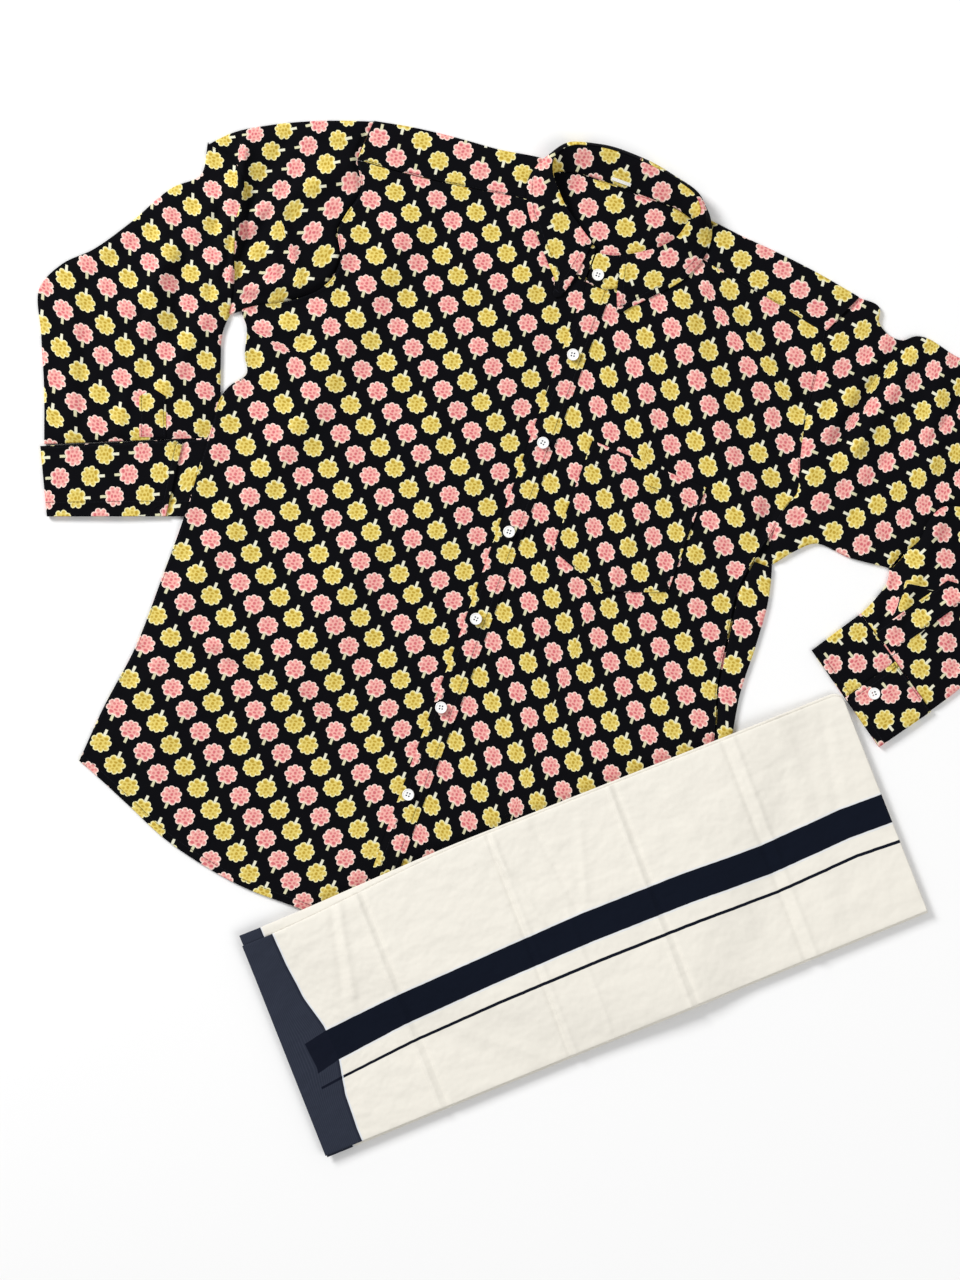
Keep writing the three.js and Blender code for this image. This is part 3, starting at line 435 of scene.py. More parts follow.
# Body. The levels are the tops of the back, of the fronts low down, and of the fronts by the yoke.
backLevel, lowerLevel, upperLevel = 0.9, 2.5, 4.0
leftSide = [(-300, -593), (-296, -541), (-287, -474), (-286, -404), (-286, -338), (-290, -266), (-288, -215),
            (-277, -199), (-284, -185), (-292, -158), (-301, -143)]
leftArmhole = [(-301, -143), (-265, -123), (-236, -96), (-231, -70), (-243, -42), (-241, -28), (-236, -1),
               (-249, 24)]
rightSeam = [(270, -593), (264, -500), (256, -420), (250, -366), (237, -323), (229, -270), (224, -233),
             (228, -200)]
rightArmhole = [(228, -200), (235, -171), (241, -140), (246, -128), (237, -98), (229, -61), (225, -28),
                (222, -4), (219, 24)]
rightRoll = [(285, -593), (279, -500), (272, -420), (266, -366), (259, -323), (257, -270), (254, -233),
             (246, -200)]
hem = [(-300, -593), (-284, -599), (-243, -616), (-200, -634), (-157, -645), (-119, -651), (-61, -652),
       (14, -653)]
rightHem = [(14, -653), (80, -652), (140, -645), (200, -628), (245, -607), (270, -593)]
leftNeck = [(-70, 42), (-50, 20), (-31, 7), (-8, -6), (14, -6)]
rightNeck = [(14, -6), (36, 10), (57, 32), (70, 48)]
yokeLeft = [(-248.5, 24), (-208, 27), (-164, 32), (-126, 38), (-84, 45)]
yokeRight = [(84, 49), (112, 43), (145, 37), (182, 31), (218.5, 24)]

# x0, y0, x1, y1, width, height: troughs are negative
bodyFolds = [
    (92, -22, 205, -160, 24, 4.2), (215, -150, 232, -210, 12, 2.4), (-244, -144, -296, -156, 10, 3),
    (-232, -60, -225, -150, 16, 2), (-190, -40, -215, -230, 26, 3.0), (-120, -330, -150, -560, 34, 2.6),
    (98, -285, 100, -420, 7, 1.5), (113, -150, 110, -270, 9, 0.9),
    (98, 27, 207, -40, 8, 4.4), (98, 9, 207, -62, 9, -3.0), (70, -60, 96, -140, 12, 1.0),
    (-215, -444, -90, -463, 8, 2.2), (-215, -458, -90, -478, 7, -2.0), (240, -160, 224, -214, 6, 3.0),
    (-60, -20, -100, -200, 18, 0.9), (-150, 0, -165, -150, 16, -0.9), (-215, -230, -262, -420, 20, 1.4),
    (-70, -360, -96, -520, 14, -0.9), (-200, -420, -236, -560, 18, 1.2), (60, -330, 40, -480, 16, 1.0),
    (150, -300, 176, -430, 18, 1.3), (200, -260, 215, -380, 12, -1.0), (-270, -160, -238, -200, 9, 1.5),
    (-30, -60, -45, -160, 12, 0.7), (190, -190, 150, -260, 13, 0.8), (-262, -480, -284, -570, 12, 1.0),
]


fronts = {"loft": 1.6, "folds": 1.15, "overSleeve": 2.4, "seamDepth": 0.55, "seamWidth": 3.2,
          "sideSeamDepth": 0.35, "sideRoll": 1.3, "hemTurn": 6.5, "hemStep": 0.35}


def frontHeight(x, y):
    underMundu = smooth(0.759 * x - y, 320, 440)  # pressed flat there
    edges = smooth(x, -296, -250) * (1 - smooth(x, 190, 236))
    loft = fronts["loft"] * edges * smooth(np.abs(x - 5), 10, 70) * (1 - smooth(y, -30, 10))
    soft = loft + fronts["folds"] * ridges(bodyFolds, x, y) * np.minimum(1, edges + 0.5)
    overSleeve = (1 - smooth(x, -288, -262)) * smooth(-y, 222, 240) * (1 - smooth(-y, 345, 375))
    level = lerp(lowerLevel, upperLevel, smooth(y, -60, -25)) + fronts["overSleeve"] * overSleeve
    return level + np.maximum(-0.5, soft) * (1 - underMundu * 0.92)


def seamDip(distance, depth=fronts["seamDepth"]):
    return -depth * bell(distance, fronts["seamWidth"])


def front(name, edges, columns, rows, hemSide, printAt):
    grid, away = patch(*edges, stations(columns, 0.002), stations(rows, 0.001))
    x, y = grid[..., 0], grid[..., 1]
    z = frontHeight(x, y) + seamDip(away["high"]) * (y > -30)
    z = z + seamDip(away[hemSide], fronts["sideSeamDepth"])
    z = z + fronts["hemStep"] * smooth(away["low"], fronts["hemTurn"] + 1, fronts["hemTurn"])
    underArm = smooth(y, -205, -165) * (1 - smooth(y, -60, -25))
    z = z + fronts["sideRoll"] * bell(away[hemSide], 9) * underArm
    lines = stitchLine((away["low"], fronts["hemTurn"], x + y * 0.2),
                       (away[hemSide], 1.5 if hemSide == "near" else 1.2, y))
    piece = cloth(f"cloth_{name}", raised(grid, z), printAt(grid), seam=lines, material=cotton)
    return piece


# x0, y0, x1, y1, takeUp, width
leftTucks = [(-292, -160, -236, -167, 9, 1.3), (-232, -58, -222, -150, 4, 3), (-215, -452, -90, -472, 3, 4)]
rightTucks = [(100, 20, 206, -50, 8, 5), (240, -168, 222, -214, 8, 1.5)]


def bentPrint(tucks, middle, across, along):
    return lambda points: bent(pulled(points, tucks), middle, across, along)


leftPrint = bentPrint(leftTucks, (-140, -300), (-123, 102.3, -0.7, 2, 0, 1.3),
                      (-352.3, -1, 101, -1, -0.4, 0.5))


def rightPrint(grid):  # the pressed fold beside and below the pocket takes up a little of the cloth's width
    grid = pulled(grid, rightTucks)
    outer = bent(grid, (170, -260), (193.2, 102.3, -1.7, -1.6, -1.5, -0.2), (-290.2, 17, 101, -2.2, 1.4, 0))
    inner = bent(grid, (45, -330), (60, 105.2, -0.3, -0.5, 0.4, 0.4), (-386, 20, 100, 0.5, -1.3, 0))
    share = (1 - smooth(grid[..., 0], 97, 100)) * smooth(-grid[..., 1], 100, 165)
    return lerp(outer, inner, share[..., None])


leftEdge = curve(leftSide + leftArmhole[1:-1] + [(-248.5, 23.7)], byHeight=True)
front("front_left", (curve(hem), curve(yokeLeft + leftNeck), leftEdge, curve([(14, -653), (14, -6)])),
      144, 250, "near", leftPrint)
rightEdge = curve(rightSeam + rightArmhole[1:-1] + [(218.5, 23.7)], byHeight=True)
front("front_right",
      (curve(rightHem), curve(rightNeck + yokeRight), curve([(14, -653), (14, -6)]), rightEdge),
      116, 250, "far", rightPrint)
print("stage: fronts")


back = {"inset": 1.2, "round": 1.1, "overlap": 1.5, "puff": 0.7, "columns": 60, "rows": 150}


def addBack():  # a flat sheet that rolls up over the right side seam
    rightLine = curve(rightRoll + rightArmhole[1:-2], byHeight=True)
    leftLine = curve(leftSide + leftArmhole[1:-2], byHeight=True)
    hemLine = curve([(-300, -593), (-243, -613), (-157, -641), (-61, -648), (60, -648), (180, -632),
                     (250, -606), (285, -593)])
    s, t = stations(back["columns"]), stations(back["rows"], 0.001)
    grid = patch(hemLine, curve([leftArmhole[-3], rightArmhole[-3]]), leftLine, rightLine, s, t)[0]
    flat = raised(grid, backLevel)
    flat[:, -1, 0] -= back["inset"]
    rollX, rollY = grid[:, -1, :1], grid[:, -1, 1:]
    seamX = np.interp(rollY, [p[1] for p in rightSeam], [p[0] for p in rightSeam])
    top = lowerLevel + 1.1
    arc = np.linspace(-math.pi / 2, math.pi / 2, 7)[1:]
    middle, radius = (backLevel + top) / 2, (top - backLevel) / 2
    turnX = rollX - back["inset"] + np.cos(arc)[None] * back["round"]
    turnZ = np.broadcast_to(middle + radius * np.sin(arc), turnX.shape)
    share = np.linspace(0, 1, 9)[1:][None]
    stripX = lerp(rollX - back["inset"], seamX + back["overlap"], share)
    puff = back["puff"] * np.sin(math.pi * share) * (0.6 + 0.4 * np.sin(rollY / 31))
    stripZ = top - 0.9 * share + puff
    across = np.concatenate([turnX, stripX], 1)
    strip = np.stack([across, np.broadcast_to(rollY, across.shape), np.concatenate([turnZ, stripZ], 1)], -1)
    points = np.concatenate([flat, strip], 1)
    keep = np.ones((points.shape[0] - 1, points.shape[1] - 1), bool)
    keep[rollY[1:, 0] > -199, len(s) + 2:] = False
    unrolled = np.stack([2 * rollX - strip[..., 0], strip[..., 1]], -1)
    cut = np.concatenate([grid, unrolled], 1)
    piece = cloth("cloth_back", points, grain(cut, -1.8, (4, 10)), keep=keep, material=plainPrint)


addBack()
print("stage: back")

# Yoke, from its back seam over the shoulders' fold to its seam with the fronts
yokeFold = [(-246, 64), (-208, 71), (-164, 76), (-126, 79), (-88, 85), (-48, 85), (0, 85), (48, 85),
            (86, 84), (112, 81), (148, 78), (190, 73), (236, 65)]
yoke = {"round": 1.6, "loft": 0.9, "stitch": 1.4, "backRows": 16, "frontRows": 18, "turnRows": 9}


def addYoke():
    share = stations(150, 0.0015)
    fold = curve(yokeFold)(share)
    foldX, foldY = fold[:, 0], fold[:, 1] - yoke["round"]
    backX, backY = lerp(-240.5, 224.5, share), -27.7
    frontSeam = np.array(yokeLeft + yokeRight)
    frontY = np.interp(foldX, frontSeam[:, 0], frontSeam[:, 1])
    frontX = np.interp(foldX, [-246, -208, -88, 88, 190, 236], [-248.5, -208, -84, 84, 182, 218.5])
    level = np.full(share.shape, backLevel)
    rows = [np.column_stack([lerp(backX, foldX, part), lerp(backY, foldY, part), level])
            for part in np.linspace(0, 1, yoke["backRows"])]
    middle, radius = (backLevel + upperLevel) / 2, (upperLevel - backLevel) / 2
    for turn in np.linspace(-math.pi / 2, math.pi / 2, yoke["turnRows"])[1:]:
        rows.append(np.column_stack([foldX, foldY + yoke["round"] * math.cos(turn),
                                     np.full(share.shape, middle + radius * math.sin(turn))]))
    backRows = len(rows)
    for part in np.linspace(0, 1, yoke["frontRows"])[1:]:
        x, y = lerp(foldX, frontX, part), lerp(foldY, frontY + 0.2, part)
        loft = yoke["loft"] * math.sin(math.pi * part) * (1 + 0.4 * np.sin(x / 27))
        soft = loft + ridges(bodyFolds, x, y) * part
        dip = seamDip((1 - part) * (fold[:, 1] - frontY))
        rows.append(np.column_stack([x, y, upperLevel + 0.3 + soft + dip]))
    points = np.stack(rows)
    keep = np.ones((points.shape[0] - 1, points.shape[1] - 1), bool)
    keep[backRows - 1:, (fold[1:, 0] > -83) & (fold[1:, 0] < 87)] = False  # the neck
    reach = runLength(points)
    seam = stitchLine((reach[-1:] - reach, yoke["stitch"], points[..., 0]))
    # the print's front half is read in plan, and the back follows the cloth round the fold
    plan = np.stack([points[..., 0], fold[None, :, 1] - (reach - reach[backRows - 5])], -1)
    piece = cloth("cloth_yoke", points[::-1], grain(plan, 186, (-7.8, 33.2))[::-1], seam=seam[::-1],
                  keep=keep[::-1], material=cotton, nodes=["yoke"])


def addYokeInside():  # the part that shows in the neck
    inner = patch(curve([(-80, -18), (80, -18)]), curve([(-74, 76), (-52, 83), (52, 83), (74, 76)]),
                  curve([(-80, -18), (-74, 76)]), curve([(80, -18), (74, 76)]), stations(44), stations(30))[0]
    z = lowerLevel - 0.1 + 0.25 * np.sin(inner[..., 0] / 23 + inner[..., 1] / 31)
    piece = cloth("cloth_yoke_inside", raised(inner, z), grain(inner, -9, (-18.9, 36.8)),
                  material=plainPrint, nodes=["yoke_inside"])


addYoke()
addYokeInside()
print("stage: yoke")


placket = {"left": -7, "right": 17, "rise": 0.95, "wave": 0.28, "sway": 0.6, "stitch": 5.5}


def addPlacket():  # the front band, with its free edge at the left
    y = np.linspace(-652.5, -11, 230)
    across = np.array([-7, -6.6, -4.4, -1, 2, 5, 8, 11, 14.4, 16.6, 17])
    grid = np.stack(np.meshgrid(across, y), -1)
    grid[..., 0] += placket["sway"] * np.sin(grid[..., 1] / 70) * smooth(-grid[..., 1], 0, 60)
    x, y = grid[..., 0], grid[..., 1]
    base = topOf("front_left", np.stack([np.clip(x, -300, 13), np.clip(y, -651, -8)], -1))
    z = base.max(axis=1, keepdims=True) + placket["rise"]
    z = z + placket["wave"] * np.sin(y / 19 + 1) * np.cos(y / 43)
    seam = stitchLine((x - placket["left"], placket["stitch"], y),
                      (placket["right"] - x, placket["stitch"], y))
    piece = cloth("cloth_placket", raised(grid, z), grain(grid, 0.2, (8.3, 18.5)),
                  seam=seam, material=cotton, wall=1.0)


pocket = {"rise": 0.85, "edgeSwell": 0.25, "hemSwell": 0.55, "stitch": 2.2, "hem": 19}


def addPocket():
    low = curve([(48, -256), (106, -277), (163, -256)], straight=True)
    grid, away = patch(low, curve([(48, -147), (163, -152)]), curve([(48, -256), (48, -147)]),
                       curve([(163, -256), (163, -152)]), stations(44, 0.006), stations(48, 0.005))
    side = np.minimum(away["near"], away["far"])
    edge = np.minimum(side, away["low"])
    z = topOf("front_right", grid) + pocket["rise"] + pocket["edgeSwell"] * np.exp(-edge / 4)
    z = z + pocket["hemSwell"] * bell(away["high"] - 3, 9)
    run = np.where(away["low"] < side, grid[..., 0], grid[..., 1])
    seam = np.stack([edge - pocket["stitch"], run], -1)
    hemLine = np.stack([away["high"] - pocket["hem"], grid[..., 0]], -1)
    cut = bent(grid, (105, -205), (108.8, 107.9, -0.5, 0, -1.4, 0), (-227.4, 19.4, 101.4, 0, -1.1, 1.3))
    piece = cloth("cloth_pocket", raised(grid, z), cut, seam=seam, hem=hemLine, material=cotton)


addPlacket()
addPocket()
print("stage: placket and pocket")

# Collar sections from one end round the neck to the other: seam x, y; roll x, y, z; leaf's edge x, y, z
collarSections = np.array([
    (-9.8, -10, -9.8, 19, 5.6, 0, 0, 5.9), (-13, -9, -12, 24, 5.6, -25, -30, 5.9),
    (-36, 3, -21, 30, 5.8, -37, -17, 5.9), (-56, 18, -34, 38.5, 6.6, -52, -1, 5.9),
    (-70, 37, -50, 49.5, 8.2, -68, 17, 5.9), (-77, 54, -62, 61.5, 11.2, -82, 34, 6.1),
    (-77, 68, -71, 72, 14.2, -90, 52, 6.4), (-69, 78, -76, 87, 16.2, -91, 70, 6.4),
    (-53, 83, -68, 101, 17.2, -79, 93, 3.6), (-28, 84.5, -42, 111, 17.2, -40, 92, 1.8),
    (0, 85, -4, 113, 17.2, -2, 92, 1.8), (28, 84.5, 34, 108, 17.2, 32, 91, 1.8),
    (52, 83, 62, 98, 17.2, 76, 92, 3.6), (67, 78, 70, 86, 16.2, 87, 72, 6.4),
    (75, 66, 62, 74, 14.2, 88, 52, 6.4), (76, 50, 58, 60, 11.2, 82, 34, 6.1),
    (66, 33, 46, 45, 8.2, 71, 16, 5.9), (50, 16, 32, 35, 6.6, 55, -1, 5.9),
    (33, 2, 20, 28, 5.8, 40, -17, 5.9), (14, -9, 10, 23, 5.6, 29, -27, 5.9),
    (-8.4, -10, -8.4, 19, 5.6, 0, 0, 5.9),
])


collarAt = curve(collarSections[:, [2, 3, 0, 1, 4, 5, 6, 7]])  # by share of the roll's length
collar = {"standSwell": 0.3, "standRows": 12, "leafRows": 18, "leafRise": 1.5, "leafLevel": 5.3,
          "stitch": 6, "rollLength": 430}


def addCollarStand():
    section = collarAt(stations(150, 0.0015))
    roll, seam, rollZ = section[:, 0:2], section[:, 2:4], section[:, 4]
    seamZ = lerp(5.5, 4.1, smooth(seam[:, 1], 66, 84))
    rows = []
    for part in np.linspace(0, 1, collar["standRows"]):
        z = lerp(seamZ, rollZ, part) + collar["standSwell"] * math.sin(math.pi * part)
        rows.append(np.column_stack([lerp(seam, roll, part), z]))
    points = np.stack(rows)[::-1]
    piece = cloth("cloth_collar_stand", points, grain(points, -8, (-23.5, -3.8)), material=plainPrint,
                  wall=0.8, nodes=["collar_stand"])


def addCollarLeaf():
    reach = runLength(collarSections[:, 2:4])
    share = lerp(reach[1], reach[19], stations(160, 0.0015)) / reach[-1]
    section = collarAt(share)
    roll, rollZ, edge = section[:, 0:2], section[:, 4], section[:, 5:8]
    behind = smooth(roll[:, 1], 86, 104)  # 1 at the back of the neck
    start = np.column_stack([roll, rollZ + collar["leafRise"]])
    outward = lerp(start, edge, 0.2)
    outward[:, 1] = roll[:, 1] + 2 * behind
    outward[:, 2] = rollZ + lerp(collar["leafRise"], -1, behind)
    bend = lerp(start, edge, 0.6)
    bend[:, 2] = lerp(rollZ, collar["leafLevel"], 0.6) + collar["leafRise"]
    tucked = np.column_stack([lerp(roll[:, 0], edge[:, 0], 0.5), roll[:, 1] + 1.5,
                              np.full(len(roll), collar["leafLevel"])])
    knots = np.stack([start, outward, lerp(bend, tucked, behind[:, None]), edge])
    marks = np.array([0, 0.2, 0.62, 1])  # the knots' places, by share of the leaf's depth
    gap = np.diff(marks)
    slopes = np.diff(knots, axis=0) / gap[:, None, None]
    inner = [(slopes[k] * gap[k + 1] + slopes[k + 1] * gap[k]) / (gap[k] + gap[k + 1]) for k in (0, 1)]
    tangents = [slopes[0], *inner, slopes[2]]
    rows = []
    for part in stations(collar["leafRows"], 0.02):
        k = min(int(np.searchsorted(marks, part, side="right")) - 1, 2)
        t = (part - marks[k]) / gap[k]
        rows.append(hermite(t, gap[k], knots[k], knots[k + 1], tangents[k], tangents[k + 1]))
    points = np.stack(rows)
    depth = runLength(points)
    toEnd = np.minimum(share - share[0], share[-1] - share) * collar["rollLength"]
    seam = stitchLine((depth[-1:] - depth, collar["stitch"], points[..., 0]),
                      (toEnd[None], collar["stitch"], points[..., 1]))
    left, right = grain(points, 134, (19.2, 76.4)), grain(points, -141, (-8.0, 28.2))
    piece = cloth("cloth_collar_leaf", points, np.where(roll[None, :, :1] < 0, left, right), seam=seam,
                  material=cotton, wall=0.8, nodes=["collar_leaf"])


addCollarStand()
addCollarLeaf()
print("stage: collar")


# Sleeves: flattened tubes, wound from the middle of the under side
sleeveFolds = [
    (-262, 8, -330, -70, 16, 3), (-348, -8, -338, -120, 12, 5), (-250, -100, -312, -128, 11, 4),
    (-296, -50, -264, -96, 8, 3), (-316, 20, -330, -50, 10, -2.4),
    (-360, -60, -395, -170, 14, 3), (-330, -150, -345, -250, 13, 2.4), (-455, -190, -418, -300, 12, 2.2),
    (292, 42, 264, -72, 8, -4.5), (306, 40, 282, -66, 10, 3.0), (276, 44, 252, -60, 8, 2.4),
    (330, 30, 352, -60, 15, 3.2), (356, 6, 346, -40, 6, -2.4), (-352, 2, -342, -34, 5, 3.0),
    (-337, -42, -322, -120, 5, 3.4), (-330, -44, -314, -118, 5, -3), (-372, -100, -352, -190, 9, -2.6),
    (-400, -84, -376, -176, 13, 3.0), (-352, -66, -332, -150, 7, -2.4), (250, -118, 318, -140, 14, 2.4),
    (357, -150, 362, -216, 7, -2.6), (378, -110, 372, -205, 10, 3.4), (395, -205, 425, -160, 9, 2.6),
    (395, -70, 460, -30, 16, 4),
    (-270, 40, -350, 12, 9, 1.4), (-300, -20, -318, -100, 8, -1.6), (-400, -90, -446, -170, 10, -1.4),
    (-380, -180, -372, -290, 9, 1.4), (-300, -60, -280, -110, 7, 1.4), (-430, -220, -400, -310, 7, -1.1),
    (320, -20, 300, -130, 9, -1.5), (285, -60, 262, -150, 8, 1.2), (410, 10, 380, -60, 9, -1.6),
    (430, -100, 452, -200, 11, 1.6), (400, -110, 440, -230, 8, -1.3), (340, 20, 420, 20, 9, 1.2),
]


foldTucks = [(292, 44, 266, -72, 8, 4)]  # x0, y0, x1, y1, takeUp, width
sleeveTucks = [(-298, -50, -262, -98, 9, 1.3), (-356, 2, -346, -34, 8, 1.3),
               (-337, -42, -322, -120, 7, 1.3), (-452, -262, -438, -300, 7, 1.3)]
sleeves = {"under": 0.9, "level": 3.9, "least": 2.4, "bow": 2.2, "folds": 1.25, "round": 1.6,
           "inset": 1.7, "columns": 90, "underColumns": 14}
# edge, depth and reach of the dips: at the armhole and the elbow, and at the elbow and the cuff
upperDips = [("low", 4.2, 6), ("high", 2.6, 6)]
lowerDips = [("low", 4.6, 7), ("high", 1.6, 5)]


def sleeveHeight(x, y, share):
    bow = np.sin(math.pi * np.clip(share, 0, 1))
    underFront = 1.7 * smooth(x, -306, -290) * smooth(-y, 205, 232) * (x < 0)
    soft = sleeves["bow"] * bow**0.6 + sleeves["folds"] * ridges(sleeveFolds, x, y) * bow**0.35
    return sleeves["level"] + np.maximum(-0.6, soft) - underFront


def sleeve(name, low, high, near, far, rows, printAt, dips):
    upperShares = np.linspace(0, 1, sleeves["columns"])
    grid, away = patch(low, high, near, far, upperShares, stations(rows, 0.004))
    across = grid[:, -1:] - grid[:, :1]
    width = np.linalg.norm(across, axis=-1)
    inset = sleeves["inset"] / width
    shares = lerp(inset, 1 - inset, upperShares[None])
    inner = grid + (shares - upperShares[None])[..., None] * across
    z = sleeveHeight(inner[..., 0], inner[..., 1], upperShares[None])
    for edge, depth, reach in dips:
        z = z - depth * bell(away[edge], reach)
    upper = raised(inner, np.maximum(z, sleeves["least"]))
    arc = np.linspace(-math.pi / 2, math.pi / 2, 8)[1:-1]
    arcs = []
    for column, sign in ((0, -1), (-1, 1)):
        out = np.cos(arc)[None, :, None] * sleeves["round"] * sign * across / width[..., None]
        top, bottom = upper[:, column, 2:], sleeves["under"]
        height = (top + bottom) / 2 + (top - bottom) / 2 * np.sin(arc)[None]
        arcs.append(raised(inner[:, column][:, None] + out, height))
    under = np.linspace(0, 1, sleeves["underColumns"])
    picks = np.round(under * (len(upperShares) - 1)).astype(int)
    lower = raised(inner[:, picks], sleeves["under"])
    half = len(under) // 2
    # from the middle of the under side, out to the near edge, over the top and back
    points = np.concatenate([lower[:, half::-1], arcs[0], upper, arcs[1][:, ::-1],
                             lower[:, :half - 1:-1]], 1)
    reach = runLength(points, 1)
    first = half + 1 + len(arc)
    end = first + len(upperShares)
    uv = printAt(points[..., :2])
    # under the sleeve the print goes on round the edges
    nearEdge, farEdge = printAt(upper[:, :1, :2]), printAt(upper[:, -1:, :2])
    onward = (farEdge - nearEdge) / np.linalg.norm(farEdge - nearEdge, axis=-1)[..., None]
    uv[:, :first] = nearEdge + onward * (reach[:, :first] - reach[:, first:first + 1])[..., None]
    uv[:, end:] = farEdge + onward * (reach[:, end:] - reach[:, end - 1:end])[..., None]
    piece = cloth(f"cloth_{name}", points, uv, material=plainPrint)


leftArm = ([(x + 2, y) for x, y in leftArmhole] + [(-246, 63)])[::-1]
leftElbow = [(-384, -10), (-358, -15), (-344, -30), (-340, -60), (-330, -95), (-319, -126), (-313, -154)]
sleeve("sleeve_left_upper", curve(leftArm), curve(leftElbow),
       curve([leftArm[0], (-294, 46), (-335, 27), (-366, 8), leftElbow[0]]),
       curve([leftArm[-1], leftElbow[-1]]), 90,
       bentPrint(sleeveTucks, (-293, -42), (-1.1, 37.6, -92.7, -2.5, 21.7, 2.1),
                 (-43.6, 99.8, 25.0, -2.3, -15.7, 21.4)), upperDips)
leftStart = [(-385, -8), (-357, -11.5), (-340.5, -27), (-336, -58), (-326, -93), (-315, -125), (-311, -151)]
leftCuffSeam = [(-432, -326), (-283, -264.7)]
sleeve("sleeve_left_lower", curve(leftStart), curve(leftCuffSeam, straight=True),
       curve([leftStart[0], (-381, -40), (-400, -58), (-428, -105), (-452, -140), (-474, -162), (-486, -188),
              (-470, -230), (-450, -277), leftCuffSeam[0]]),
       curve([leftStart[-1], (-312, -168), (-303, -200), (-292, -230), (-285, -248), leftCuffSeam[-1]]), 130,
       bentPrint(sleeveTucks, (-381, -217), (-29.2, 97.3, 29.2, 1.8, 3.2, 1.9),
                 (-74.0, -6.4, 103.1, -6.9, -2.0, 1.0)), lowerDips)

rightArm = [(x - 2, y) for x, y in [(248, -198)] + rightArmhole[1:] + [(237.4, 64)]]
rightElbow = [(352, -163), (360, -145), (369, -128), (371, -108), (378, -94), (398, -86), (440, -62),
              (474, -2)]
sleeve("sleeve_right_upper", curve(rightArm), curve(rightElbow),
       curve([rightArm[0], (262, -178), (274, -167), (312, -167), rightElbow[0]]),
       curve([rightArm[-1], (258, 61), (261, 50), (290, 41), (297, 47), (345, 43), (400, 43), (445, 28),
              rightElbow[-1]]), 130,
       bentPrint(foldTucks, (323, -57), (-3.6, 13.8, 101.1, 3.7, 7.0, 0.9),
                 (-58.9, -111.1, 5.3, -5.2, -12.1, 2.1)), upperDips)
rightStart = [(349.5, -160), (357, -142), (365.5, -126), (367, -106), (375, -90), (396, -82), (437, -58),
              (472, 0)]
rightCuffSeam = [(340.3, -213), (432, -275.2)]


def rightForearmPrint(points):  # cloth is taken up by a tuck across it, and beside the slit
    x, y = points[..., 0], points[..., 1]
    side = ((x - 385) * 70 - (y + 235) * 35) / 78  # mm beside the slit, above 0 at its right
    rightOf = smooth(side, -1.5, 1.5)
    lowered = rightOf * smooth(-y, 150, 185)
    between = (1 - rightOf) * smooth(x, 367, 371) * smooth(-y, 168, 172)
    shift = lowered[..., None] * np.array([6.0, 8.5]) + between[..., None] * np.array([18.6, -1.3])
    return grain(points + shift, -26, (416.1, 50.0))


sleeve("sleeve_right_lower", curve(rightStart), curve(rightCuffSeam, straight=True),
       curve([rightStart[0], (353, -175), (348, -195), rightCuffSeam[0]]),
       curve([rightStart[-1], (487, -50), (489, -110), (479, -180), (450, -247), rightCuffSeam[-1]]),
       110, rightForearmPrint, lowerDips)
print("stage: sleeves")


# Cuffs: one band wound flat, from its inner end to its outer end
cuff = {"fold": 0.016, "level": 1.05, "ripple": 0.22, "endStitch": 5}


def addCuff(name, corners, outerEnd, innerEnd, printAt, linesAt):
    openStart, openEnd, seamStart, seamEnd = (np.array(c, float) for c in corners)
    wide = np.linalg.norm(openEnd - openStart)
    deep = np.linalg.norm(seamStart - openStart)
    fold = cuff["fold"] * wide
    arc = np.linspace(0, math.pi, 9)
    wound = ([(innerEnd * wide, 1.5), ((1 + innerEnd) / 2 * wide, 1.9)]
             + [(wide - fold + 1.3 * math.sin(a), 1.2 + 1.2 * math.cos(a)) for a in arc]
             + [(0.5 * wide, 0)]
             + [(fold - 1.4 * math.sin(a), 2.0 - 2.0 * math.cos(a)) for a in arc]
             + [(0.2 * wide, 4.5), (0.5 * outerEnd * wide + 0.12 * wide, 4.5), (outerEnd * wide, 3.9)])
    along = curve(wound, straight=True)(stations(150, 0.003))
    depth = stations(26, 0.012)
    share, z = along[:, :1] / wide, along[:, 1:] + cuff["level"]
    bottom, top = lerp(openStart, openEnd, share), lerp(seamStart, seamEnd, share)
    grid = lerp(bottom[:, None], top[:, None], depth[None, :, None])
    ripple = cuff["ripple"] * np.sin(grid[..., 0] / 17 + grid[..., 1] / 13) * smooth(z, 3.5, 5)
    points = raised(grid, z + ripple)
    reach = runLength(along)
    run, toOuter = reach[:, None], (reach[-1] - reach)[:, None]
    seam = stitchLine((depth[None] * deep, linesAt[0], run), ((1 - depth[None]) * deep, linesAt[1], run),
                      (toOuter + 0 * depth[None], cuff["endStitch"], depth[None] * deep))
    # the print is read on the outer side, and goes on round the folds
    outer = (along[:, 1] > 3.9) & (reach > reach[-1] * 0.3)
    first = int(np.argmax(outer))
    uv = printAt(grid)
    onward = uv[-1:] - uv[first:first + 1]
    onward = onward / np.linalg.norm(onward, axis=-1)[..., None]
    uv[:first] = uv[first] + onward * (reach[:first] - reach[first])[:, None, None]
    piece = cloth(f"cloth_{name}", points.swapaxes(0, 1), uv.swapaxes(0, 1), seam=seam.swapaxes(0, 1),
                  material=cotton, wall=1.0, nodes=[name])


addCuff("cuff_left", [(-407.5, -389), (-279, -341.9), (-436, -329.5), (-284, -265.5)], 0.82, 0.62,
        lambda p: grain(p, -67, (-14.6, 3.6)), (13, 2))
addCuff("cuff_right", [(398, -324), (308.5, -261), (432.2, -275.8), (339.6, -213.3)], 0.51, 0.3,
        lambda p: grain(p, -121, (33.3, 25.0)), (6, 2))


sleevePlacket = {"width": 25, "rise": 0.8, "stitch": 2.2}


